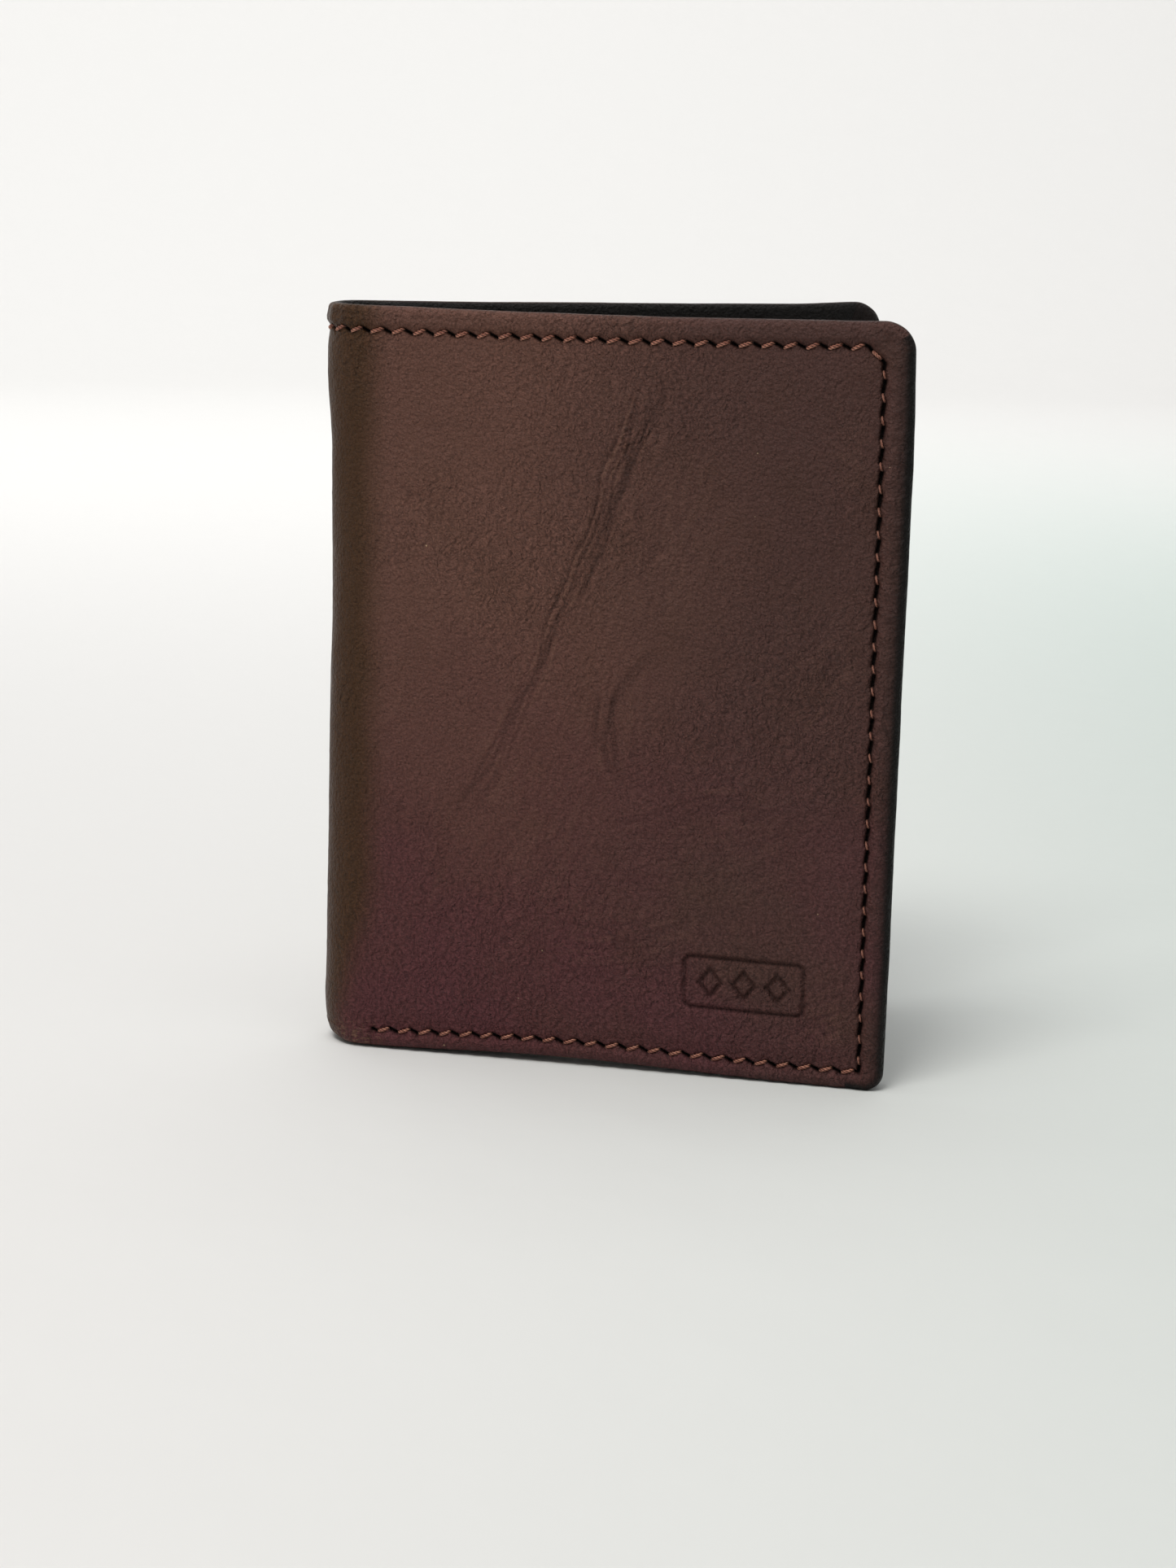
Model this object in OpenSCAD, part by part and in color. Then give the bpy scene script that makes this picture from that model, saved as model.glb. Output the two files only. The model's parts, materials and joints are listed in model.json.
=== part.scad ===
// Folding business card case in leather.
// One outer skin folds round a soft spine. The back half carries four stepped card pockets and
// the front half a window pocket over a deep pocket. Everything is held by lockstitched seams.
//
// Frame: +Z is up and the case stands on its bottom edges, open like a book. The fold is on the
// -X side, the front cover faces -Y, and X and Y are zero at the middle of the footprint.
// Cover frame: origin at the bottom of the line where a cover's flat begins, on its outer face;
// +X runs to the free edge, +Y into the case, +Z up. The depth of a layer is its +Y.

/* [Case] */
// Height of the case
case_h = 124; // [116:1:132]
// Width of the closed case, from the fold to the free edge
case_w = 95.5; // [94:0.5:104]
// Thickness of the closed case, over the outer leather
closed_t = 12.4; // [12.4:0.1:15]
// Angle between the two halves as the case stands
open_angle = 28.5; // [20:0.5:40]
// Corner radius at the top of the free edge
corner_top = 5.5; // [3:0.5:8]
// Corner radius at the bottom of the free edge
corner_bottom = 3; // [2:0.5:6]
// How far the leather is cut up at the bottom of the spine
spine_rise = 2.5; // [0:0.5:5]

/* [Leather and lining] */
// Thickness of the outer leather
leather_t = 1.2; // [1:0.1:1.4]
// Thickness of the stiffening board
board_t = 0.6; // [0.4:0.1:0.8]
// Thickness of the fabric lining
lining_t = 0.25; // [0.2:0.05:0.3]
// Thickness of the leather turned over the edge
hem_t = 0.8; // [0.7:0.1:0.9]
// Width of the turned edge at the side and bottom
hem_w = 9; // [7:0.5:11]
// Width of the turned edge along the top
hem_top_w = 12; // [10:0.5:14]
// Thickness of the inner panels
panel_t = 0.75; // [0.65:0.05:0.8]
// Thickness of the pocket leather
pocket_t = 0.65; // [0.55:0.05:0.7]

/* [Seams] */
// Distance between stitches
stitch_pitch = 3.5; // [3:0.1:4]
// Length of thread that shows in one stitch
stitch_l = 2.4; // [2:0.1:2.8]
// Radius of the thread
thread_r = 0.28; // [0.2:0.02:0.3]
// Seam to the top edge
margin_top = 4; // [3:0.5:5]
// Seam to the free edge
margin_side = 4.1; // [3.1:0.5:5.1]
// Seam to the bottom edge
margin_bottom = 3; // [2.5:0.5:4]

/* [Pockets] */
// Height of the lowest pocket mouth above the bottom edge
mouth_low = 51; // [48:1:54]
// Step from one pocket mouth to the next
mouth_step = 14; // [12:1:15]
// Depth of a pocket below its mouth
pocket_depth = 50; // [46:1:50]
// Height of the deep pocket's mouth
deep_mouth = 98; // [90:1:104]
// Radius of the thumb notch in the deep pocket
notch_r = 9; // [6:0.5:12]
// Height of the window pocket's mouth
window_mouth = 68; // [64:1:72]
// Width of the leather border round the window
window_border = 10; // [8:0.5:12]

/* [Hidden] */
$fn = 48;

leather_colour = [0.30, 0.20, 0.17];
inner_colour = [0.25, 0.17, 0.15];
lining_colour = [0.10, 0.08, 0.08];
thread_colour = [0.58, 0.34, 0.25];
board_colour = [0.45, 0.38, 0.32];
film_colour = [0.85, 0.88, 0.90, 0.35];

// The fold. The leather turns through turn on each side of the spine's middle, on radius fold_r.
half_open = open_angle / 2;
turn = 90 - half_open;
fold_r = closed_t / 2 * 90 / turn;
flat_l = case_w - closed_t / 2;
spine_half = 30;                     // half the angle that the rigid middle of the spine spans
gap_turn = 45;                       // where the cover's share of the fold begins, from the middle
arc_rise = 1;                        // bottom of the cover's share of the fold
fold_seam_at = (gap_turn + turn) / 2;  // middle of the stitch on the cover's share
spine_hem_t = 0.3;                   // leather turned over inside the top of the spine

// Depths of the layers in a cover.
lining_top = leather_t + board_t + lining_t;
hem_top = lining_top + hem_t;
mouth_gap = 0.3;                     // opening of the slip pocket under the top hem
panel_top = hem_top + panel_t;
wall_t = 1;                          // leather between the board's edge and the air
glue = 0.1;                          // bond line between two layers of pocket leather
film_t = 0.2;
bag_t = 0.15;

// The footprint, and where the middle of the fold's arc lies in it.
reach = fold_r * (1 - cos(turn)) + flat_l * cos(half_open) + hem_top * sin(half_open);
arc_x = fold_r - reach / 2;

// The pocket stack inside a cover.
stack_x = -2.5;                      // fold-side edge
stack_side = 0.8;                    // inset from the free edge and from the bottom
stack_drop = 7;                      // inset from the top edge
edge_margin = 1.3;                   // its own seam, from the fold-side edge
stack_right = flat_l - stack_side;
stack_top = case_h - stack_drop;

// The outer seam's corner points, in the cover frame's X and Z.
groove_w = 0.9;
groove_d = thread_r * 2 + 0.02;
seam_cut = 2.5;                      // how far the seam cuts off the top corner
seam_x = flat_l - margin_side;
seam_z = case_h - margin_top;
seam_start = 2.8;                    // where the bottom seam begins, clear of the fold
seam = [[0, seam_z], [seam_x - seam_cut, seam_z], [seam_x, seam_z - seam_cut],
    [seam_x, margin_bottom], [seam_start, margin_bottom]];

// The blank stamped plate on the front cover.
plate_w = 20.6;
plate_h = 9.4;
plate_at = [55.6, 11];
plate_line = 0.7;
plate_d = 0.25;

// The four card pockets, from the highest to the lowest.
pocket_count = 4;
strip_h = 16;                        // leather of a stepped pocket, under its mouth
function mouth(k) = mouth_low + (pocket_count - k) * mouth_step;
function strip_base(k) = panel_top + glue + (k - 1) * (bag_t + glue);
function strip_head(k) = k == 1 ? strip_base(1) : strip_base(k - 1) + pocket_t + glue;
function strip_foot_z(k) = k == pocket_count ? stack_side : mouth(k) - strip_h;

foot_fold = 5.8;                     // height of the lowest pocket's folded foot

// Depths of pocket k's two faces at height z, and of the back half's top layer there.
function strip_inner(k, z) = strip_base(k)
    + (strip_head(k) - strip_base(k)) * (z - strip_foot_z(k)) / (mouth(k) - strip_foot_z(k));
function strip_face(k, z) = strip_inner(k, z) + pocket_t;
function back_face(z) = z > stack_top ? hem_top
    : z > mouth(1) ? panel_top
    : z > mouth(2) ? strip_face(1, z)
    : z > mouth(3) ? strip_face(2, z)
    : z > mouth(4) ? strip_face(3, z) : strip_face(4, z);

deep_back = panel_top + bag_t;
deep_face = deep_back + pocket_t;
film_face = deep_face + film_t;
frame_face = film_face + pocket_t;
function front_face(z) = z > stack_top ? hem_top
    : z > deep_mouth ? panel_top : z > window_mouth ? deep_face : frame_face;

// ---- placing -------------------------------------------------------------------------------

module at_fold() translate([arc_x, 0, 0]) children();

module front_half() at_fold()
    translate([-fold_r * cos(turn), -fold_r * sin(turn), 0])
        rotate([0, 0, -half_open]) children();

module back_half() mirror([0, 1, 0]) front_half() children();

// A flat outline, drawn in the cover frame's X and Z, made into a sheet at a depth.
module sheet(depth, thick) translate([0, depth + thick, 0])
    rotate([90, 0, 0]) linear_extrude(height = thick) children();

// A section, drawn in the cover frame's depth and Z, made into a strip along X.
module strip(x0, x1) translate([x0, 0, 0])
    rotate([90, 0, 90]) linear_extrude(height = x1 - x0) children();

// ---- outlines ------------------------------------------------------------------------------

module corner_waste(r) difference() {
    square(r + 1);
    circle(r);
}

// A panel with rounded corners at its free edge.
module panel(x0, x1, z0, z1, r_top, r_bottom) difference() {
    translate([x0, z0]) square([x1 - x0, z1 - z0]);
    translate([x1 - r_top, z1 - r_top]) corner_waste(r_top);
    translate([x1 - r_bottom, z0 + r_bottom]) mirror([0, 1]) corner_waste(r_bottom);
}

module cover_outline(inset = 0, x0 = 0) panel(x0, flat_l - inset, inset, case_h - inset,
    corner_top - inset, corner_bottom - inset);

module stack_outline(z1) panel(stack_x, stack_right, stack_side, z1,
    0.5, corner_bottom - stack_side);

module rounded_square(x0, z0, w, h, r) difference() {
    translate([x0, z0]) square([w, h]);
    translate([x0 + w - r, z0 + h - r]) corner_waste(r);
    translate([x0 + w - r, z0 + r]) mirror([0, 1]) corner_waste(r);
    translate([x0 + r, z0 + h - r]) mirror([1, 0]) corner_waste(r);
    translate([x0 + r, z0 + r]) mirror([1, 0]) mirror([0, 1]) corner_waste(r);
}

// ---- seams ---------------------------------------------------------------------------------

module stitch() rotate([0, 90, 0]) cylinder(r = thread_r, h = stitch_l, center = true, $fn = 16);

function stitches_in(a, b) = max(1, floor(norm(b - a) / stitch_pitch));
function along(a, b, i) = a + (b - a) * (i + 0.5) / stitches_in(a, b);

// Evenly spaced stitches from a to b at one depth.
module stitch_row(a, b, depth) {
    for (i = [0 : stitches_in(a, b) - 1])
        translate([along(a, b, i)[0], depth, along(a, b, i)[1]])
            rotate([0, -atan2(b[1] - a[1], b[0] - a[0]), 0]) stitch();
}

module groove_run(a, b) translate([a[0], -1, a[1]])
    rotate([0, -atan2(b[1] - a[1], b[0] - a[0]), 0])
        translate([-groove_w / 2, 0, -groove_w / 2])
            cube([norm(b - a) + groove_w, 1 + groove_d, groove_w]);

module seam_groove() {
    for (i = [0 : len(seam) - 2]) groove_run(seam[i], seam[i + 1]);
}

module seam_stitches() {
    for (i = [0 : len(seam) - 2]) stitch_row(seam[i], seam[i + 1], thread_r);
}

// Sweeps a section, drawn in radius and Z, round the fold from angle a0 to a1, which are measured
// from the spine's middle. The first works in the case's frame, the second in the cover frame.
module round_spine(a0, a1) rotate([0, 0, 180 + a0])
    rotate_extrude(angle = a1 - a0, $fn = 96) children();

module round_cover(a0, a1) translate([0, fold_r, 0]) mirror([1, 0, 0])
    rotate([0, 0, turn - a1 - 90]) rotate_extrude(angle = a1 - a0, $fn = 96) children();

module band(r0, r1, z0, z1) translate([r0, z0]) square([r1 - r0, z1 - z0]);

module groove_section() band(fold_r - groove_d, fold_r + 1,
    seam_z - groove_w / 2, seam_z + groove_w / 2);

module thread_section() translate([fold_r - thread_r, seam_z]) circle(thread_r, $fn = 16);

fold_step = stitch_pitch / fold_r * 180 / PI;  // angle between stitches round the fold
stitch_turn = stitch_l / fold_r * 180 / PI;    // angle that one stitch spans

// ---- spine ---------------------------------------------------------------------------------

module spine_leather() color(leather_colour) at_fold() difference() {
    round_spine(-spine_half, spine_half) {
        band(fold_r - leather_t, fold_r, spine_rise, case_h);
        band(fold_r - leather_t - lining_t, fold_r - leather_t, case_h - wall_t, case_h);
        band(fold_r - leather_t - lining_t - spine_hem_t, fold_r - leather_t - lining_t,
            case_h - hem_top_w, case_h);
    }
    round_spine(-spine_half - 1, spine_half + 1) groove_section();
}

module spine_lining() color(lining_colour) at_fold() round_spine(-spine_half, spine_half)
    band(fold_r - leather_t - lining_t, fold_r - leather_t, spine_rise + wall_t, case_h - wall_t);

module spine_hem_thread() color(thread_colour) at_fold() {
    for (middle = [-fold_step / 2, fold_step / 2])
        round_spine(middle - stitch_turn / 2, middle + stitch_turn / 2) thread_section();
}

// ---- covers --------------------------------------------------------------------------------

// The outer leather of one half, with its edges turned over the board.
module outer_leather() difference() {
    union() {
        sheet(0, leather_t) cover_outline();
        sheet(leather_t, board_t + lining_t) difference() {
            cover_outline();
            cover_outline(wall_t, -1);
        }
        sheet(lining_top, hem_t) difference() {
            cover_outline();
            translate([-1, hem_w]) square([flat_l + 1 - hem_w, case_h]);
            translate([-1, case_h - hem_top_w]) square([flat_l + 10, case_h]);
        }
        sheet(lining_top, hem_t - mouth_gap) difference() {
            cover_outline();
            translate([-1, -1]) square([flat_l + 10, case_h + 1 - hem_top_w]);
        }
        cover_fold();
    }
    seam_groove();
}

// The cover's own share of the fold.
module cover_fold() difference() {
    round_cover(gap_turn, turn) band(fold_r - leather_t, fold_r, arc_rise, case_h);
    round_cover(gap_turn - 1, turn) groove_section();
}

module stiffener() color(board_colour) sheet(leather_t, board_t) cover_outline(wall_t);

module cover_lining() color(lining_colour) sheet(leather_t + board_t, lining_t)
    cover_outline(wall_t);

module inner_panel() color(inner_colour) sheet(hem_top, panel_t)
    stack_outline(stack_top);

module seam_thread() color(thread_colour) {
    seam_stitches();
    round_cover(fold_seam_at - stitch_turn / 2, fold_seam_at + stitch_turn / 2) thread_section();
}

// The threads' other side, which shows inside the case: along the top on the hem, and down the
// free edge and along the bottom on the pockets. depths are those of the stitches down the side.
module bobbin_thread(side_depths, bottom_depth) color(thread_colour) {
    stitch_row(seam[0], seam[1], hem_top - mouth_gap + thread_r);
    stitch_column(seam_x, side_z, side_depths);
    stitch_row(seam[3], seam[4], bottom_depth + thread_r);
}

// The seam up the fold-side edge of a pocket stack.
module pocket_edge_thread(depths) color(thread_colour)
    stitch_column(stack_x + edge_margin, edge_z, depths);

// Upright stitches at x, one at each height, lying on the faces at the given depths.
module stitch_column(x, heights, depths) {
    for (i = [0 : len(heights) - 1]) translate([x, depths[i] + thread_r, heights[i]])
        rotate([0, 90, 0]) stitch();
}

// Heights of the upright stitches, and the depths of the faces that they lie on. A stitch lies
// on the highest face that it passes over.
bed = 0.02;                          // thread to leather
span = [-stitch_l / 2 : stitch_l / 8 : stitch_l / 2];
side_z = [for (i = [0 : stitches_in(seam[2], seam[3]) - 1]) along(seam[2], seam[3], i)[1]];
edge_z = [for (z = [stack_side + 4 : stitch_pitch : stack_top - 3]) z];
function front_depth(z) = bed + max([for (t = span) front_face(z + t)]);
function back_depth(z) = bed + max([for (t = span) back_face(z + t)]);

module front_outer_leather() color(leather_colour) front_half() difference() {
    outer_leather();
    stamped_plate();
}

// A blank frame pressed into the leather.
module stamped_plate() sheet(-1, 1 + plate_d) difference() {
    rounded_square(plate_at[0], plate_at[1], plate_w, plate_h, 1.6);
    rounded_square(plate_at[0] + plate_line, plate_at[1] + plate_line,
        plate_w - 2 * plate_line, plate_h - 2 * plate_line, 1);
}

module back_outer_leather() color(leather_colour) back_half() outer_leather();

// ---- front half: window pocket over a deep pocket --------------------------------------------

module deep_pocket_lining() color(lining_colour) front_half()
    sheet(panel_top, bag_t)
        panel(stack_x + 3, stack_right - 1, stack_side + 1, deep_mouth - 0.5, 0.5, 0.5);

module deep_pocket() color(inner_colour) front_half() sheet(deep_back, pocket_t) difference() {
    stack_outline(deep_mouth);
    translate([flat_l / 2, deep_mouth]) circle(notch_r);
}

window_x = stack_x + window_border + 1;
window_w = stack_right - window_border - 1 - window_x;
window_z = stack_side + window_border;
window_h = window_mouth - window_border - window_z;
film_lap = 4.5;                      // how far the film runs under the leather
window_seam = 2;                     // the seam round the window, from its edge

module window_film() color(film_colour) front_half() sheet(deep_face, film_t)
    translate([window_x - film_lap, window_z - film_lap])
        square([window_w + 2 * film_lap, window_h + 2 * film_lap]);

module window_frame() color(inner_colour) front_half() difference() {
    sheet(film_face, pocket_t) stack_outline(window_mouth);
    sheet(film_face - 1, pocket_t + 2) rounded_square(window_x, window_z, window_w, window_h, 4);
}

module window_thread() color(thread_colour) front_half() {
    x0 = window_x - window_seam;
    x1 = window_x + window_w + window_seam;
    z0 = window_z - window_seam;
    z1 = window_z + window_h + window_seam;
    corners = [[x0, z0], [x1, z0], [x1, z1], [x0, z1], [x0, z0]];
    for (i = [0 : 3]) stitch_row(corners[i], corners[i + 1], frame_face + thread_r);
}

// ---- back half: four stepped card pockets ----------------------------------------------------

// The leather of pocket k. Its foot lies on the layers below and its mouth on the pocket above.
// The lowest pocket's foot is folded, and fills the depth down to the inner panel.
module card_pocket(k) color(inner_colour) back_half() intersection() {
    strip(stack_x, stack_right) polygon([
        [k == pocket_count ? panel_top : strip_base(k), strip_foot_z(k)],
        [strip_base(k) + pocket_t, strip_foot_z(k)],
        [strip_head(k) + pocket_t, mouth(k)],
        [strip_head(k), mouth(k)],
        if (k == pocket_count) [strip_inner(k, foot_fold), foot_fold],
        if (k == pocket_count) [panel_top, foot_fold]]);
    sheet(0, 10) stack_outline(case_h);
}

// The fabric of pocket k, which hangs from its leather behind the pockets below.
module pocket_bag(k) color(lining_colour) back_half() sheet(strip_base(k), bag_t)
    translate([stack_x + 2.5, mouth(k) - pocket_depth])
        square([stack_right - stack_x - 5, pocket_depth - strip_h]);

// ---- the nodes -------------------------------------------------------------------------------

spine_leather();
spine_lining();
spine_hem_thread();
front_outer_leather();
front_half() stiffener();  // front_stiffener
front_half() cover_lining();  // front_lining
front_half() inner_panel();  // front_inner_panel
front_half() seam_thread();  // front_seam_thread
front_half() bobbin_thread([for (z = side_z) front_depth(z)], frame_face);  // front_bobbin_thread
front_half() pocket_edge_thread([for (z = edge_z) front_depth(z)]);  // front_pocket_edge_thread
deep_pocket_lining();
deep_pocket();
window_film();
window_frame();
window_thread();
back_outer_leather();
back_half() stiffener();  // back_stiffener
back_half() cover_lining();  // back_lining
back_half() inner_panel();  // back_inner_panel
back_half() seam_thread();  // back_seam_thread
back_half() bobbin_thread([for (z = side_z) back_depth(z)], back_face(margin_bottom));  // back_bobbin_thread
back_half() pocket_edge_thread([for (z = edge_z) back_depth(z)]);  // back_pocket_edge_thread
card_pocket(1);  // card_pocket_1
card_pocket(2);  // card_pocket_2
card_pocket(3);  // card_pocket_3
card_pocket(4);  // card_pocket_4
pocket_bag(1);  // pocket_bag_1
pocket_bag(2);  // pocket_bag_2
pocket_bag(3);  // pocket_bag_3
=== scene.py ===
"""Looks of a folding business card case in dark brown leather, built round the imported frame.

Shapes are worked out in millimetres on the skin laid flat: s runs round the case from the middle of
the spine to a free edge, z is the height, and depth goes into the case from the skin's outer face.
place() bends that flat skin round the fold and turns it into metres in the row frame.
"""

import json
import math

import bmesh
import bpy
import numpy as np
from mathutils import Matrix, Vector


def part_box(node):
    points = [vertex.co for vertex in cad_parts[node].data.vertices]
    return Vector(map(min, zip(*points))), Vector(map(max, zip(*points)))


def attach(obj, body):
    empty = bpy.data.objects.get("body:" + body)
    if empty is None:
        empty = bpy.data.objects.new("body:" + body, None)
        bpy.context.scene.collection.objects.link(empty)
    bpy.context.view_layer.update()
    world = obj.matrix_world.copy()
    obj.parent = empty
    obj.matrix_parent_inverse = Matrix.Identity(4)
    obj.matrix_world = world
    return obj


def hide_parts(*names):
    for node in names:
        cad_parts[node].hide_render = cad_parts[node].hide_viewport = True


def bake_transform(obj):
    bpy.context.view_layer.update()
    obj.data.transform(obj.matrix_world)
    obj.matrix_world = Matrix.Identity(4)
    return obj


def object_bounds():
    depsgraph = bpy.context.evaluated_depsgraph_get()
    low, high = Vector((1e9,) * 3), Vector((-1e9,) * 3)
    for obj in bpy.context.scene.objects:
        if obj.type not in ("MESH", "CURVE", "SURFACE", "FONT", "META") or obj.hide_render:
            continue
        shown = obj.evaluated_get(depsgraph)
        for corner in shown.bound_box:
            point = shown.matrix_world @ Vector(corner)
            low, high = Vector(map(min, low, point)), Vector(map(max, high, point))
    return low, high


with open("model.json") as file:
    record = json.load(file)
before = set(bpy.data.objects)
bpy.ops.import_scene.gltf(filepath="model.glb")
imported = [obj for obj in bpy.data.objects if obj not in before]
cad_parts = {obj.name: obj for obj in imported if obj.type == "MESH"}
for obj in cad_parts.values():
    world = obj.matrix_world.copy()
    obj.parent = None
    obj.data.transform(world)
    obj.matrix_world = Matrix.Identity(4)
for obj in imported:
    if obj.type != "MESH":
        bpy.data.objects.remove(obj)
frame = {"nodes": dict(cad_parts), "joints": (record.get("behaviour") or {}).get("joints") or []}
cad_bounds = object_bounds()

MM = 0.001
FRONT, BACK = -1, 1                    # the sign of Y on each half
NAME = {FRONT: "front", BACK: "back"}
COVER = {FRONT: "front_cover", BACK: "back_cover"}

# ---- sizes, in millimetres, from the frame ----

LEATHER = 1.2
BOARD_TOP = 1.8                        # depth of the board's inner face
HEM_DEPTH = 2.85                       # depth of the turned edge's inner face
PANEL_TOP = 3.6
POCKET = 0.65
SPINE_HALF = math.radians(30)          # half the angle of the CAD spine

joint = frame["joints"][0]
HALF_OPEN = math.radians(-joint["range_deg"][0])
TURN = math.pi / 2 - HALF_OPEN
HEIGHT = cad_bounds[1][2] / MM
FOLD_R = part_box("spine_leather")[1].y / MM / math.sin(SPINE_HALF)
FOLD_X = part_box("spine_leather")[0].x / MM + FOLD_R
FLAT = ((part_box("front_outer_leather")[1].x / MM - FOLD_X + FOLD_R * math.cos(TURN)
         - HEM_DEPTH * math.sin(HALF_OPEN)) / math.cos(HALF_OPEN))
S_TURN = FOLD_R * TURN                 # where the fold's arc ends
S_END = S_TURN + FLAT                  # the free edge
CORNER_TOP, CORNER_BOTTOM = {FRONT: 4.5, BACK: 4.2}, 3.0
HEM_SIDE, HEM_TOP = 9.0, 13.0
# How far the free edge stands out past the seam's straight line, at heights up the cover.
EDGE_HEIGHTS = (0, 20, 45, 70, 85, 97, 110, 119, 124)
EDGE_SWELL = (-0.2, 0.1, 0.3, 0.55, 0.76, 0.87, 0.88, 0.62, 0.4)
TOP_DIP = {FRONT: 0.5, BACK: 0.15}     # how far the top edge hangs in its middle
TIP_LIFT = {FRONT: 0, BACK: 0.25}      # how far the top corner is drawn up
FOOT_LIFT, FOOT_MIDDLE, FOOT_REACH = 1.05, 45, 27   # the bottom edge's arch
# The stack of panel and pockets inside each cover.
STACK_LEFT, STACK_INSET, STACK_DROP = S_TURN - 2.5, 0.8, 7.0
STACK_RIGHT, STACK_TOP = S_END - STACK_INSET, HEIGHT - STACK_DROP

# The outer seam.
PITCH = 3.5
SEAM_TOP, SEAM_SIDE, SEAM_BOTTOM = HEIGHT - 4.0, S_END - 4.1, 3.0
SEAM_CUT = 2.5
SEAM_START = S_TURN + 2.8
# Each of these has a value for the seam's top, corner, side and bottom.
STITCH = (0.56, 0.50, 0.34, 0.54)      # share of the pitch that a stitch shows
SLANT = (0.42, 0.1, 0.16, 0.38)        # how far a stitch's ends lie off the seam's line
SUNK = (0.32, 0.40, 0.50, 0.34)        # how deep it lies
SLOT = (0.25, 0.22, 0.20, 0.25)        # half width of the slot at its ends
THICK = (1.0, 0.85, 0.48, 0.95)        # how thick its thread lies
GROOVE_SHADES = (0.6, 0.7, 0.95, 0.6)         # painted shade in the groove it lies in
BORDER_SHADES = (0.13, 0.13, 0.14, 0.08)        # painted shade on the border outside it

# The pockets, as in the CAD.
MOUTH_LOW, MOUTH_STEP, STRIP = 51.0, 14.0, 16.0
DEEP_MOUTH, NOTCH_R, WINDOW_MOUTH, WINDOW_BORDER = 98.0, 9.0, 68.0, 11.0
STACK_R = (0.6, 2.2, 0.6, 0.6)         # corner radii, anticlockwise from the low left
LINE_IN = 1.7                          # how far inside an edge the line pressed along it lies
BAG, GLUE, FILM = 0.15, 0.1, 0.2

# ---- numbers ----


def ease(x, lo, hi):
    """0 below lo, 1 above hi, and smooth between."""
    t = np.clip((x - lo) / (hi - lo), 0, 1)
    return t * t * (3 - 2 * t)


def bell(x, width):
    return np.exp(-((x / width) ** 2))


def join(*parts, axis=0):
    return np.concatenate(parts, axis)


def waves(x, y, seed):
    """Smooth random heights from -1 to 1, with hills about 1 apart."""
    lattice = np.random.default_rng(seed).uniform(-1, 1, (64, 64))
    i, j = np.floor(x).astype(int), np.floor(y).astype(int)
    fx, fy = ease(x - i, 0, 1), ease(y - j, 0, 1)
    near, far = (lattice[a % 64, j % 64] * (1 - fy) + lattice[a % 64, (j + 1) % 64] * fy
                 for a in (i, i + 1))
    return near * (1 - fx) + far * fx


def lines_of(x, y, seed):
    """Thin random lines, 1 on a line and 0 away from it, running mostly along x."""
    return np.clip(1 - 2.2 * np.abs(waves(x, y, seed)), 0, 1) ** 2


def smooth_path(points, spacing=1.0):
    """A smooth line through given points, as an even run of points."""
    points = np.array(points, float)
    gone = join([0], np.cumsum(np.hypot(*np.diff(points, axis=0).T)))
    at = np.linspace(0, gone[-1], max(12, int(gone[-1] / spacing)))
    path = np.stack([np.interp(at, gone, line) for line in points.T], 1)
    window = np.hanning(9)[1:-1]
    window /= window.sum()
    padded = np.pad(path, ((3, 3), (0, 0)), mode="edge")
    return np.stack([np.convolve(line, window, "valid") for line in padded.T], 1)


def nearest(s, z, stretches):
    """For the nearest of some straight stretches: the signed distance from it, positive on its
    left, the distance gone along it, and its number."""
    best = np.full(s.shape, np.inf)
    found = [np.zeros(s.shape), np.zeros(s.shape), np.zeros(s.shape, int)]
    for k, (a, b) in enumerate(stretches):
        length = np.hypot(*(b - a))
        along_s, along_z = (b - a) / length
        ds, dz = s - a[0], z - a[1]
        gone = np.clip(ds * along_s + dz * along_z, 0, length)
        far = np.hypot(ds - along_s * gone, dz - along_z * gone)
        signed = np.where(dz * along_s >= ds * along_z, far, -far)
        nearer = far < best
        best = np.where(nearer, far, best)
        found = [np.where(nearer, new, old) for new, old in zip((signed, gone, k), found)]
    return found


def from_path(s, z, path):
    """Signed distance from a path, distance gone along it, and the path's whole length."""
    gone = join([0], np.cumsum(np.hypot(*np.diff(path, axis=0).T)))
    signed, along, which = nearest(s, z, list(zip(path[:-1], path[1:])))
    return signed, gone[which] + along, gone[-1]


# ---- from the flat skin to the row frame ----


def place(s, z, depth, side):
    """Row-frame points, in millimetres, from the flat skin's s, z and depth."""
    past_seam = np.clip((s - SEAM_SIDE) / (S_END - SEAM_SIDE), 0, 1.2)
    bow = np.sin(np.pi * np.clip((s - 6) / (S_END - 6), 0, 1))
    s = s + np.interp(z, EDGE_HEIGHTS, EDGE_SWELL) * past_seam
    psi = np.minimum(s, S_TURN) / FOLD_R
    run = np.maximum(s - S_TURN, 0)
    r = FOLD_R - depth
    x = FOLD_X - r * np.cos(psi) + run * math.sin(TURN)
    y = side * (r * np.sin(psi) + run * math.cos(TURN))
    up = z / HEIGHT
    arch = FOOT_LIFT * bell(s - FOOT_MIDDLE, FOOT_REACH) * (1 - up)
    tip = TIP_LIFT[side] * bell(s - S_END + 4, 6) * np.clip(up, 0, 2) ** 2
    heel = (0.6 * bell(s, 4.6) + 0.15 * (1 - ease(s, 10, 16))) * np.clip(1 - z / 16, 0, 1.1) ** 2
    rise = arch - TOP_DIP[side] * bow * up + tip + heel
    return np.stack(np.broadcast_arrays(x, y, z + rise), -1)


# ---- meshes ----


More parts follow.
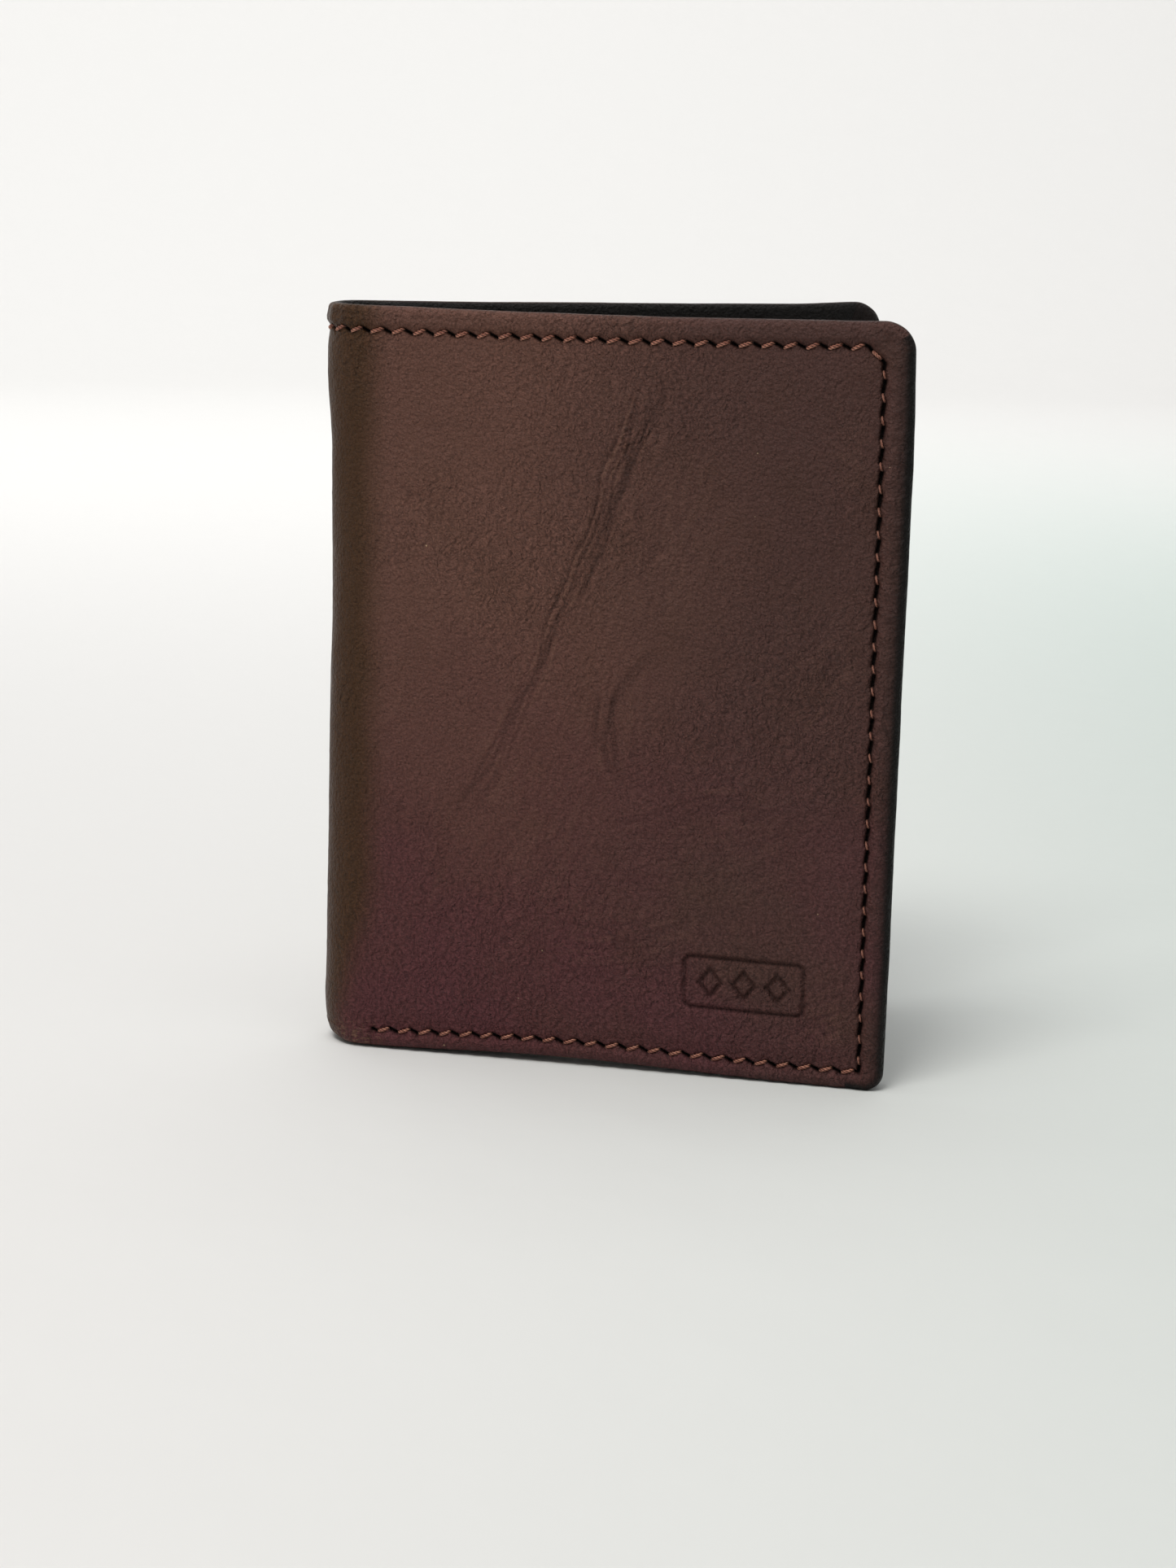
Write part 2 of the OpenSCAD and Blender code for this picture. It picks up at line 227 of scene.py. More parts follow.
class Shell:
    """Collects one piece: points on the flat skin, faces, texture places, painted shade, and the
    hem's near-black with painted shade on the side edge.
    """

    def __init__(self, side):
        self.side, self.points, self.places, self.faces = side, [], [], []
        self.shades, self.edge_dye_and_shade = [], []
        self.count = 0

    def add(self, s, z, depth, faces, shade=0.0, uv=None, hem=0.0):
        """Adds points and the faces between them, which are numbered from the first new point.
        Texture places run on through the middle of the spine, so they carry the side's sign."""
        s, z, depth, shade, hem = np.broadcast_arrays(s, z, depth, shade, hem)
        self.points.append(place(s, z, depth, self.side).reshape(-1, 3))
        places = np.stack([s, z], -1) if uv is None else uv
        self.places.append(places.reshape(-1, 2) * np.array([0.01 * self.side, 0.01]))
        self.shades.append(shade.reshape(-1))
        self.edge_dye_and_shade.append(hem.reshape(-1))
        self.faces += [face for part in faces for face in (part + self.count).tolist()]
        self.count += s.size

    def build(self, name, slot, weld=0.0):
        mesh = bpy.data.meshes.new(name)
        mesh.from_pydata(np.concatenate(self.points) * MM, [], self.faces, shade_flat=False)
        corners = np.concatenate(self.faces)
        uv = mesh.uv_layers.new(name="flat").uv
        uv.foreach_set("vector", np.concatenate(self.places)[corners].astype(np.float32).ravel())
        for key, values in (("shade", self.shades), ("hem", self.edge_dye_and_shade)):
            layer = mesh.attributes.new(key, "FLOAT", "POINT")
            layer.data.foreach_set("value", np.concatenate(values).astype(np.float32))
        mesh.materials.append(MATERIALS[slot])
        mesh.validate()
        obj = add_object(name, mesh)
        tidy_mesh(obj, weld)
        return obj

    def ride(self, name, slot, replaced, weld=0.0):
        """Makes a piece that rides on its cover."""
        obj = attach(self.build(name, slot, weld), COVER[self.side])
        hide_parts(replaced)

    def bend(self, name, slot, *replaced, weld=0.0):
        """Makes a piece that crosses the fold: builds it, bakes its transform into its points and
        hides the CAD nodes that it replaces.
        """
        obj = self.build(name, slot, weld)
        start, end = (tuple(place(s, HEIGHT / 2, 0.0, self.side) * MM) for s in (S_TURN, 0.0))
        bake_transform(obj)
        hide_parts(*replaced)


def add_object(name, data):
    obj = bpy.data.objects.new(name, data)
    bpy.context.scene.collection.objects.link(obj)
    return obj


def tidy_mesh(obj, weld):
    """Joins points closer than weld, in millimetres, closes what is open with a flat end whose rim
    is sharp, and turns every face outwards."""
    bm = bmesh.new()
    bm.from_mesh(obj.data)
    if weld:
        bmesh.ops.remove_doubles(bm, verts=bm.verts, dist=weld * MM)
        bmesh.ops.dissolve_degenerate(bm, edges=bm.edges, dist=weld * MM)
        rim = [e for e in bm.edges if e.is_boundary]
        if rim:
            bmesh.ops.holes_fill(bm, edges=rim)
        for e in rim:
            e.smooth = False
    bmesh.ops.recalc_face_normals(bm, faces=bm.faces)
    bm.to_mesh(obj.data)
    bm.free()


def grid(rows, columns, wrap=False):
    """Four-sided faces of a grid of points, numbered row by row. wrap joins the last column to the
    first."""
    across = columns if wrap else columns - 1
    i, j = np.meshgrid(np.arange(rows - 1), np.arange(across), indexing="ij")
    a = i * columns + j
    b = i * columns + (j + 1) % columns
    return np.stack([a, b, b + columns, a + columns], -1).reshape(-1, 4)


def even(lo, hi, step):
    return np.linspace(lo, hi, max(2, int(round((hi - lo) / step)) + 1))


# ---- the outer seam ----


class Run:
    """A straight stretch of seam from a to b, with its stitches."""

    def __init__(self, a, b):
        self.a, self.b = np.array(a, float), np.array(b, float)
        length = np.hypot(*(self.b - self.a))
        self.count = max(1, int(length // PITCH))
        self.step = length / self.count
        self.along = (self.b - self.a) / length

    def middles(self):
        return self.a + self.along * ((np.arange(self.count) + 0.5) * self.step)[:, None]


def runs(*points):
    return [Run(a, b) for a, b in zip(points, points[1:])]


SEAM = runs((0, SEAM_TOP), (SEAM_SIDE - SEAM_CUT, SEAM_TOP), (SEAM_SIDE, SEAM_TOP - SEAM_CUT),
            (SEAM_SIDE, SEAM_BOTTOM), (SEAM_START, SEAM_BOTTOM))


def from_seam(s, z):
    """Signed distance from the seam, positive towards the edge, the place within a stitch, 0 to 1,
    and the number of the seam's stretch."""
    offset, gone, which = nearest(s, z, [(run.a, run.b) for run in SEAM])
    return offset, gone / np.take([run.step for run in SEAM], which) % 1.0, which


def zigzag(phase, which):
    """How far the thread's line lies off the seam: out along each stitch and back between two."""
    half = np.take(STITCH, which) / 2
    t = phase - 0.5
    back = np.where(t > 0, t - 0.5, t + 0.5) / (0.5 - half)
    return np.take(SLANT, which) * np.where(np.abs(t) <= half, t / half, -back)


def seam_height(s, z):
    """Height and painted shade of the leather by the seam, and the distance from it."""
    offset, phase, which = from_seam(s, z)
    line = offset - zigzag(phase, which)
    half = np.take(STITCH, which) / 2
    hole = ease(np.abs(phase - 0.5), half - 0.06, half + 0.05)
    groove = bell(line, 0.38)
    slot_cut = hole * bell(line, np.take(SLOT, which))
    puckered = 1 + 0.3 * np.cos(2 * np.pi * phase)
    crown = 0.26 * ease(offset, 0.2, 1.3) * puckered * (1.3 - 0.3 * ease(offset, 1, 3))
    dip = 0.26 * bell(offset, 1.9)
    shoulder = 0.30 * ease(offset, 1.0, 3.0) ** 2
    deep = (np.take(SUNK, which) - 0.06) * groove + 0.62 * slot_cut
    border_shade = np.take(BORDER_SHADES, which) * ease(offset, 0.6, 2.6)
    # Painted shade in the groove, in the needle holes and on the border outside the seam.
    shade = np.take(GROOVE_SHADES, which) * groove * (0.45 + 0.55 * hole) + 0.9 * slot_cut + border_shade
    return crown - dip - shoulder - deep, np.clip(shade, 0, 1), offset


# ---- the outer face ----

# Creases: points on the skin, half width, depth at the first and last point, and the distance
# between their lines.
CREASES = {FRONT: [
    ([(58, 118), (54, 105), (51, 96), (48.5, 87), (45.5, 80), (42, 73), (40.3, 66), (36.5, 59.5),
      (33.6, 53), (31, 48), (27, 42), (24, 33.5), (21, 26), (18.3, 17), (16, 10)],
     1.6, 0.34, 0.06, 0.8),
    ([(61, 116), (56, 104), (52.3, 92), (49.3, 84), (46, 76)], 1.0, 0.22, 0.16, 0.7),
    ([(59.5, 113), (55, 101), (51.6, 92), (47.4, 80), (43.5, 72)], 0.8, 0.16, 0.16, 0.6),
    ([(48, 86), (44.5, 76), (41, 69), (37, 58), (34, 50), (28, 38)], 2.4, 0.14, 0.10, 0.75),
    ([(60.5, 71.5), (56.3, 65.8), (52.4, 61), (51.5, 55.3), (52.2, 50.7), (55.5, 46)],
     0.9, 0.14, 0.24, 0.7),
    ([(54, 64), (52.6, 60), (53.2, 55), (53.6, 50), (56, 47)], 0.6, 0.22, 0.14, 0.6),
    ([(51, 63), (50.3, 57), (50.6, 52)], 0.5, 0.16, 0.12, 0.6),
    ([(94, 74.5), (89.2, 68.5), (85.6, 64), (82.5, 58.5)], 1.6, 0.12, 0.08, 0.7),
    ([(90, 72), (86.5, 67), (84, 61)], 0.8, 0.09, 0.06, 0.7),
    ([(54, 39.5), (61.3, 42.6), (66, 45.5), (70, 47), (80, 46.2)], 1.8, 0.08, 0.09, 0.8),
    ([(45, 19.5), (53, 19.8), (59.7, 22.4), (65, 25.3), (69, 28)], 1.6, 0.09, 0.08, 0.8),
    ([(15, 96.4), (18, 94.6), (21, 92.4)], 0.9, 0.12, 0.10, 0.6),
    ([(20, 105), (28, 104.4), (37, 105.4)], 0.7, 0.08, 0.06, 0.6),
    ([(13, 52), (17, 57), (19, 64)], 1.6, 0.08, 0.08, 0.8),
], BACK: [
    ([(20, 112), (27, 97), (31, 82), (38, 66), (41, 52), (47, 38)], 1.8, 0.20, 0.10, 0.8),
    ([(23, 110), (29, 95), (33, 80), (39, 68)], 1.0, 0.14, 0.12, 0.7),
    ([(66, 30), (72, 41), (80, 50), (90, 55)], 1.6, 0.14, 0.10, 0.8),
    ([(58, 108), (66, 101), (72, 92)], 1.2, 0.12, 0.09, 0.8),
]}
# Patches of fine wrinkles: middle, half sizes, direction in degrees, distance between lines, depth.
PATCHES = {FRONT: [
    ((40, 40), (17, 27), 58, 0.95, 0.10), ((60, 90), (13, 26), 76, 0.85, 0.11),
    ((72, 42), (22, 14), 18, 1.0, 0.09), ((91, 12), (8, 8), 24, 0.8, 0.17),
    ((25, 75), (13, 25), 100, 1.0, 0.06), ((84, 66), (11, 15), 48, 0.9, 0.10),
    ((91, 103), (6, 7), -12, 0.9, 0.12), ((20, 92), (8, 11), -35, 0.8, 0.10),
    ((56, 22), (22, 12), 12, 0.9, 0.09), ((53, 58), (8, 14), 80, 0.8, 0.10),
], BACK: [
    ((36, 66), (18, 34), 66, 0.95, 0.11), ((76, 44), (18, 16), 30, 0.9, 0.10),
    ((20, 22), (9, 14), 70, 0.9, 0.10), ((88, 106), (9, 9), 20, 0.9, 0.12),
    ((60, 90), (16, 20), 130, 0.9, 0.08),
]}
CREASE_SHADE_PER_MM = 1.9                      # painted shade of a crease for each millimetre of its depth


def crease_height(s, z, side):
    """Height of the creases and fine wrinkles, and their painted shade: dark along lines, and a
    painted highlight beside them.
    """
    height, painted_crease_shade = np.zeros(s.shape), np.zeros(s.shape)
    for k, (points, half, first, last, gap) in enumerate(CREASES[side]):
        path = smooth_path(points)
        low, high = path.min(0) - 3 * half, path.max(0) + 3 * half
        near = (s > low[0]) & (s < high[0]) & (z > low[1]) & (z < high[1])
        q, along, length = from_path(s[near], z[near], path)
        q = q + 0.45 * waves(along / 5, 0, 40 + k)
        share = np.clip(along / length, 0, 1)
        deep = (first + (last - first) * share) * ease(share, 0, 0.1) * (1 - ease(share, 0.8, 1))
        fine = lines_of(along / 6 + 7, q / gap, 70 + k) * bell(q, half * 1.3)
        main = 0 * q
        for strand, at in enumerate((-0.85, 0, 0.8)):
            at = at * half * (0.75 + 0.5 * waves(along / 9, strand, 90 + k)) * (1 - 0.6 * share)
            firm = np.clip(0.75 + 0.6 * waves(along / 7, 9 + strand, 95 + k), 0, 1)
            main = np.maximum(main, firm * bell(q - at, 0.22))
        relief_and_shade = deep * (main + 0.4 * fine - 0.25 * bell(q, half))
        height[near] -= relief_and_shade
        # Painted shade along the crease, and painted highlight where it rises beside.
        painted_crease_shade[near] += CREASE_SHADE_PER_MM * relief_and_shade
    for k, (middle, size, turn, gap, deep) in enumerate(PATCHES[side]):
        ds, dz = s - middle[0], z - middle[1]
        c, n = math.cos(math.radians(turn)), math.sin(math.radians(turn))
        along, across = ds * c + dz * n, dz * c - ds * n
        sway = 0.8 * waves(along / 7, across / 9, 120 + k)
        fine = lines_of(along / 6.5, across / gap + sway, 150 + k)
        finer = lines_of(along / 3.5 + 9, across / gap * 1.6 + sway, 180 + k)
        reach = deep * np.exp(-((ds / size[0]) ** 2 + (dz / size[1]) ** 2) * 1.4)
        lines = 0.7 * fine + 0.4 * finer
        height -= reach * lines
        # Painted shade along the wrinkle lines, painted highlight between them.
        painted_crease_shade += 0.6 * CREASE_SHADE_PER_MM * reach * (lines - 0.3)
    return height, painted_crease_shade


# The blank stamp in the front cover: its frame, with the corners' radii and the line's width, and
# the plain lozenges in it.
PLATE = (S_TURN + 55.6, 11.0), (S_TURN + 55.6 + 20.6, 11.0 + 9.4)
PLATE_R, PLATE_LINE = (1.6,) * 4, 0.85
LOZENGES, LOZENGE_PITCH, LOZENGE = 3, 5.6, (2.3, 2.9)


def plate_height(s, z):
    """The stamped frame and lozenges."""
    x, y = s - (PLATE[0][0] + PLATE[1][0]) / 2, z - (PLATE[0][1] + PLATE[1][1]) / 2
    inside = inside_rounded(s, z, PLATE, PLATE_R)
    line = ease(inside, -0.1, 0.25) * (1 - ease(inside, PLATE_LINE - 0.25, PLATE_LINE + 0.1))
    across = (x / LOZENGE_PITCH + 0.5) % 1.0 - 0.5
    within = (1 - np.abs(across) * LOZENGE_PITCH / LOZENGE[0] - np.abs(y) / LOZENGE[1]) * 1.8
    ring = ease(within, -0.1, 0.25) * (1 - ease(within, 0.6, 0.95))
    ring = ring * (np.abs(x) < LOZENGES * LOZENGE_PITCH / 2)
    return -0.45 * np.maximum(line, ring) - 0.10 * ease(inside, -0.8, 0.4)


def drawn_in(s, z):
    """How far the fold is drawn in: its waist below the turned top, and its bottom edge."""
    waist = 0.7 * ease(z, 8, 60) * (1 - ease(z, 100, 113)) * (1 - ease(s, 6, 17))
    low = np.clip((5.5 - z) / 5.5, 0, 0.995)
    foot = 1.7 * (1 - np.sqrt(1 - low ** 2)) * (1 - ease(s, 3, 11))
    swell = 0.25 * bell(z - 8, 4) * (1 - ease(s, 5, 12))
    return waist + foot - swell


def face_height(s, z, side):
    """Height of the outer face over the plain skin, and the painted shade in its seam, creases,
    step and stamp.
    """
    height, shade, offset = seam_height(s, z)
    field = ease(-offset, 0.8, 3.5)
    x = side * s
    soft = 0.20 * waves(x / 21 + 3, z / 26, 5) + 0.07 * waves(x / 7, z / 9, 9)
    grain = 0.022 * waves(x / 1.5, z / 1.5, 13) + 0.02 * waves(x / 0.9, z / 0.9, 14)
    creases, painted_crease_shade = crease_height(s, z, side)
    step = bell(s - SEAM_START + 0.4, 0.3) * (1 - ease(z, 2.8, 3.8))
    height = height + field * (soft + creases) + grain - drawn_in(s, z) - 0.3 * step
    # Painted shade in creases and the step, and painted highlight beside the creases.
    shade = shade + field * np.clip(painted_crease_shade, -0.12, 0.5) + 0.4 * step
    if side == FRONT:
        stamp = plate_height(s, z)
        # Painted shade in the stamped lines.
        height, shade = height + stamp, shade + 0.8 * np.maximum(-stamp - 0.1, 0)
    return height, shade


# ---- the skin: a field inside the seam, and a border with the seam and the turned edge ----

INSIDE = 2.2                           # the border's inner line, from the seam
ROLL_AT_FOLD = 1.05                    # half the turned edge's thickness at the fold
PLEAT = 0.22                           # depth of the pleats at the corners
TURNED, TURNED_LOW = 0.8, 1.47         # the turned leather's thickness, and its depth at the fold
# Lines of the border beside the seam, outwards from 1.55 inside it.
SEAM_LINES = np.array([1.55, 1.1, 0.8, 0.58, 0.42, 0.28, 0.14, 0, -0.14, -0.28, -0.42, -0.58, -0.8,
                       -1.15])
ACROSS, UP, CLOSE = 0.46, 0.66, 0.26   # steps of the outer face's grid, and where it is close
FIELD_RIGHT, FIELD_LOW, FIELD_HIGH = SEAM_SIDE - INSIDE, SEAM_BOTTOM + INSIDE, SEAM_TOP - INSIDE


def grid_lines(lo, hi, step, *close):
    """Lines from lo to hi, nearer together within each close pair of limits."""
    lines, at = [], lo
    for first, last in close:
        lines += [even(at, first, step)[:-1], even(first, last, CLOSE)[:-1]]
        at = last
    return np.concatenate(lines + [even(at, hi, step)])


# The front's grid is close at its creases and round its stamp.
CLOSE_S, CLOSE_Z = {FRONT: [(40, 61), (64.6, 86.7)], BACK: []}, {FRONT: [(10.3, 21.1)], BACK: []}
FIELD_S = {side: join([0, 0.08, 0.24], grid_lines(ACROSS, FIELD_RIGHT, ACROSS, *close))
           for side, close in CLOSE_S.items()}
FIELD_Z = {side: grid_lines(FIELD_LOW, FIELD_HIGH, UP, *close) for side, close in CLOSE_Z.items()}


def with_middles(values):
    """The values with a middle between each pair that is far apart, and which pairs those are."""
    wide = np.diff(values) > CLOSE * 1.4
    middles = (values[:-1] + values[1:])[wide] / 2
    return np.sort(join(values, middles)), middles, np.cumsum(wide) * wide - 1


def add_field(shell):
    """The outer face inside the border, whose rim has a point at each of the border's stations, and
    the hidden inner face behind it."""
    across, up = FIELD_S[shell.side], FIELD_Z[shell.side]
    rows, columns = len(across), len(up)
    back_s, mid_s, which_s = with_middles(across)
    back_z, mid_z, which_z = with_middles(up)
    s, z = (part.ravel() for part in np.meshgrid(across, up, indexing="ij"))
    high, low, right = s.size + np.array([0, 1, 2]) * len(mid_s)
    inner, rim = [], []
    for k, (a, b, c, d) in enumerate(grid(rows, columns).tolist()):
        i, j = divmod(k, columns - 1)
        at_high = [high + which_s[i]] * bool(j == columns - 2 and which_s[i] >= 0)
        at_low = [low + which_s[i]] * bool(j == 0 and which_s[i] >= 0)
        at_right = [right + which_z[j]] * bool(i == rows - 2 and which_z[j] >= 0)
        face = [a, b, *at_high, c, *at_right, d, *at_low]
        (rim if len(face) > 4 else inner).append(face)
    s = join(s, mid_s, mid_s, 0 * mid_z + FIELD_RIGHT)
    z = join(z, 0 * mid_s + FIELD_HIGH, 0 * mid_s + FIELD_LOW, mid_z)
    height, shade = face_height(s, z, shell.side)
    shell.add(s, z, -height, [np.array(inner)] + [np.array([face]) for face in rim], shade)

    n, side_z = len(back_s), back_z[1:-1]
    s = join(back_s, back_s, 0 * side_z + FIELD_RIGHT)
    z = join(0 * back_s + FIELD_LOW, 0 * back_s + FIELD_HIGH, side_z)
    k = np.arange(n - 2)
    strips = np.stack([k, k + n, k + n + 1, k + 1], 1)
    last = [n - 2, 2 * n - 2, 2 * n - 1, *(2 * n + np.arange(len(side_z))[::-1]), n - 1]
    shell.add(s, z, LEATHER + drawn_in(s, z), [strips, np.array([last])])


def border_line(side):
    """Points along the outline, from the top of the spine round to its bottom, as two columns."""
    r, low_r = CORNER_TOP[side], CORNER_BOTTOM
    across, up = with_middles(FIELD_S[side])[0], with_middles(FIELD_Z[side])[0]
    top = join(across, even(FIELD_RIGHT, S_END - r, CLOSE)[1:])
    edge = join(even(HEIGHT - r, FIELD_HIGH, -CLOSE)[:-1], up[::-1],
                even(FIELD_LOW, low_r, -CLOSE)[1:])
    low = join(even(S_END - low_r, FIELD_RIGHT, -CLOSE)[:-1], across[::-1])
    turn = np.linspace(math.pi / 2, 0, 36)[1:-1]
    low_turn = np.linspace(0, -math.pi / 2, 22)[1:-1]
    s = [top, S_END - r + r * np.cos(turn), edge * 0 + S_END,
         S_END - low_r + low_r * np.cos(low_turn), low]
    z = [top * 0 + HEIGHT, HEIGHT - r + r * np.sin(turn), edge, low_r + low_r * np.sin(low_turn),
         low * 0]
    return np.concatenate(s)[:, None], np.concatenate(z)[:, None]


def roll_radius(s):
    """Half the thickness of the turned edge: thinner where it goes round the fold."""
    return ROLL_AT_FOLD + (HEM_DEPTH / 2 - ROLL_AT_FOLD) * ease(s, 7, 13)


def add_border(shell):
    """Sweeps the edge's section, a closed ring, round the outline. Each row of the arrays is one
    section, from the field over the edge and back along the hidden face."""
    corner_r = CORNER_TOP[shell.side]
    o_s, o_z = border_line(shell.side)
    i_s, i_z = np.clip(o_s, 0, FIELD_RIGHT), np.clip(o_z, FIELD_LOW, FIELD_HIGH)
    j_s, j_z = np.clip(o_s, 0, S_END - HEM_SIDE), np.clip(o_z, HEM_SIDE, HEIGHT - HEM_TOP)
    wide, hem = np.hypot(i_s - o_s, i_z - o_z), np.hypot(j_s - o_s, j_z - o_z)
    in_s, in_z = (i_s - o_s) / wide, (i_z - o_z) / wide
    hem_s, hem_z = (j_s - o_s) / hem, (j_z - o_z) / hem
    r = roll_radius(o_s)

    # The outer face, with lines on both sides of the place where the seam crosses each section.
    tries = np.linspace(0, 1, 80) * wide
    offset = from_seam(o_s + in_s * tries, o_z + in_z * tries)[0]
    seam_at = np.take_along_axis(tries, np.argmin(np.abs(offset), 1)[:, None], 1)
    inner = np.minimum(seam_at + SEAM_LINES, wide - 0.02)
    crown = r + (inner[:, -1:] - r) * np.array([0.66, 0.33])
    e = join(wide, inner, crown, r, axis=1)
    s, z = o_s + in_s * e, o_z + in_z * e
    height, shade = face_height(s, z, shell.side)

    # The rounded edge, pleated at the corners.
    phi = np.linspace(0, math.pi, 11)[None, 1:]
    steps = np.hypot(np.diff(o_s, axis=0, prepend=o_s[:1]), np.diff(o_z, axis=0, prepend=o_z[:1]))
    puff = 0.05 * waves(np.cumsum(steps, 0) / 6, phi * 1.3, 21 + shell.side)
    roll_e = r - (r + puff * np.sin(phi)) * np.sin(phi)
    fade = (1 + np.cos(phi)) / 2
    corner = (o_s > S_END - corner_r) & (o_z > HEIGHT - corner_r)
    corner |= (o_s > S_END - CORNER_BOTTOM) & (o_z < CORNER_BOTTOM)
    lean = np.arctan2(o_z - np.clip(o_z, CORNER_BOTTOM, HEIGHT - corner_r), o_s - S_END + corner_r)
    pleat = np.where(corner, PLEAT * np.abs(np.sin(4.5 * lean)), 0)
    turn_s, turn_z = hem_s * (1 - fade) + in_s * fade, hem_z * (1 - fade) + in_z * fade
    roll_s, roll_z = o_s + turn_s * roll_e, o_z + turn_z * roll_e
    rim = -height[:, -1:] - drawn_in(s[:, -1:], z[:, -1:])
    roll_depth = r * (1 - np.cos(phi)) + rim * fade - pleat * (1 - fade) + drawn_in(roll_s, roll_z)

    # The turned leather inside, its cut edge, and its way back to the inner face.
    flat = 2 * r
    cut = np.where(flat < 2.5, TURNED_LOW, flat - TURNED)
    soft = 0.04 * waves(o_s / 5, o_z / 5, 33)
    share = np.array([0.3, 0.6, 0.965, 1.0])
    hem_depth = flat - np.array([0, 0, 0, 0.12]) + (soft - pleat) * (1 - share)
    in_e = join(r + (hem - r) * share, hem, 0 * r + 1.5, 0 * r + 1.3, axis=1)
    back_s, back_z = o_s + hem_s * in_e, o_z + hem_z * in_e
    back_depth = join(hem_depth, cut, cut, 0 * r + LEATHER, axis=1)
    back_depth += drawn_in(back_s, back_z)

    s_all = join(s, roll_s, back_s, i_s, axis=1)
    z_all = join(z, roll_z, back_z, i_z, axis=1)
    depths = join(-height, roll_depth, back_depth, LEATHER + drawn_in(i_s, i_z), axis=1)
    shades = np.pad(shade, ((0, 0), (0, s_all.shape[1] - shade.shape[1])))
    # Near-black turned leather, and painted shade on the side edge's roll and the border beside it.
    side_in_shade = (o_s > FIELD_RIGHT) & (o_z < HEIGHT - 2)
    edge_dye_and_shade = join(np.where(side_in_shade, 0.6 * ease(2.6 - e, 0, 2.0), 0),
                np.where(side_in_shade, ease(phi, -0.9, 0.8), ease(phi, 0.9, 2.3)),
                0 * back_s + 1, 0 * i_s + 1, axis=1) * np.where(corner, 0.92, 1)

    # Texture places run on over the edge as if the leather lay flat.
    past = (math.pi - 1) * r
    out = join(-e, r * phi - r, past + in_e, past + 12, axis=1)
    uv = np.stack([o_s - in_s * out, o_z - in_z * out], -1)
    shell.add(s_all, z_all, depths, [grid(*s_all.shape)], shades, uv, edge_dye_and_shade)


def make_skin(side):
    shell = Shell(side)
    add_field(shell)
    add_border(shell)
    name = NAME[side]
    shell.bend(f"{name}_skin", "outer_leather", f"{name}_outer_leather", "spine_leather",
               weld=0.002)


def make_fold_lining(side):
    """Fabric inside the fold, from the spine's middle to under the inner panel."""
    s, z = np.meshgrid(even(0, S_TURN + 5, 0.5), even(1.6, HEIGHT - 1.6, 1.0), indexing="ij")
    puff = 0.05 * waves(s / 3, z / 11, 52) * ease(z, 3, 9) * (1 - ease(z, 105, 112))
    low = LEATHER + 0.02 + (BOARD_TOP + 0.02 - LEATHER) * ease(s, S_TURN - 1.5, S_TURN + 0.5)
    outer = low + drawn_in(s, z)
    rim = np.arange(s.size).reshape(s.shape)
    loop = join(rim[0, :-1], rim[:-1, -1], rim[-1, :0:-1], rim[:0:-1, 0])
    after = np.roll(loop, -1)
    wall = np.stack([loop, after, after + s.size, loop + s.size], 1)
    faces = grid(*s.shape)
    shell = Shell(side)
    shell.add(s, z, np.stack([outer, outer + 0.24 + puff]), [faces, faces + s.size, wall])
    shell.bend(f"{NAME[side]}_fold_lining", "lining", "spine_lining")


# ---- thread ----

PLIES, PLY_R, TWIST_R, TWIST = 3, 0.15, 0.175, 1.7
RINGS, SIDES = 15, 6                   # of each ply's tube
OUTWARDS, INWARDS = -1, 1              # the way that a stitch stands off its face
INSIDE_STITCH = 0.68                   # share of the pitch that a stitch shows on the inner faces


def add_stitches(shell, middles, along, half, surface, way, slant, lift=0.1, drop=0.55, thick=1.0):
    """Twisted stitches centred on points of the skin. surface is the depth that each lies on."""
    count = len(middles)
    t = np.linspace(-1, 1, RINGS)[:, None]
    ply = (np.arange(PLIES) * 2 * math.pi / PLIES)[:, None, None]
    around = np.arange(SIDES) * 2 * math.pi / SIDES
    jitter = np.random.default_rng(count).uniform(-1, 1, (count, 4))[:, :, None, None, None]
    reach = half * (1 + 0.05 * jitter[:, 0])
    spin = ply + 2 * math.pi * (t * reach) / TWIST + 3 * jitter[:, 1]
    arch = 1 - np.abs(t) ** 3.2
    cross = thick * (TWIST_R * np.cos(spin) + PLY_R * np.cos(around))
    cross = cross + slant * (1 + 0.15 * jitter[:, 2]) * t
    rise = thick * (TWIST_R * np.sin(spin) + PLY_R * np.sin(around))
    rise = rise + lift * arch - drop * (1 - arch)
    run = t * reach + 0 * cross
    base = middles[:, :, None, None, None]
    s = base[:, 0] + along[0] * run - along[1] * cross
    z = base[:, 1] + along[1] * run + along[0] * cross
    depth = np.asarray(surface, float).reshape(-1, 1, 1, 1) + way * rise
    # Painted shade between the plies and at the stitch's ends, where it goes into the leather.
    shade = np.clip((1 - np.cos(around - spin)) * 0.45 + 0.5 * np.abs(t) ** 6 + 0 * cross, 0, 1)
    tubes = (np.arange(count * PLIES) * RINGS * SIDES)[:, None, None]
    caps = np.stack([np.arange(SIDES)[::-1], (RINGS - 1) * SIDES + np.arange(SIDES)])
    faces = [(tubes + part).reshape(-1, part.shape[-1])
             for part in (grid(RINGS, SIDES, wrap=True), caps)]
    uv = np.stack(np.broadcast_arrays(run + cross * 0.2, spin + around * 0.3), -1)
    shell.add(s, z, depth, faces, shade, uv)


def make_outer_stitches(side):
    shell = Shell(side)
    for k, run in enumerate(SEAM):
        middles = run.middles()
        floor = SUNK[k] + drawn_in(*middles.T)
        add_stitches(shell, middles, run.along, run.step * STITCH[k] / 2 + 0.12, floor, OUTWARDS,
                     SLANT[k], thick=THICK[k])
    shell.bend(f"{NAME[side]}_seam_stitches", "thread", f"{NAME[side]}_seam_thread",
               "spine_hem_thread")


# ---- inner leather ----


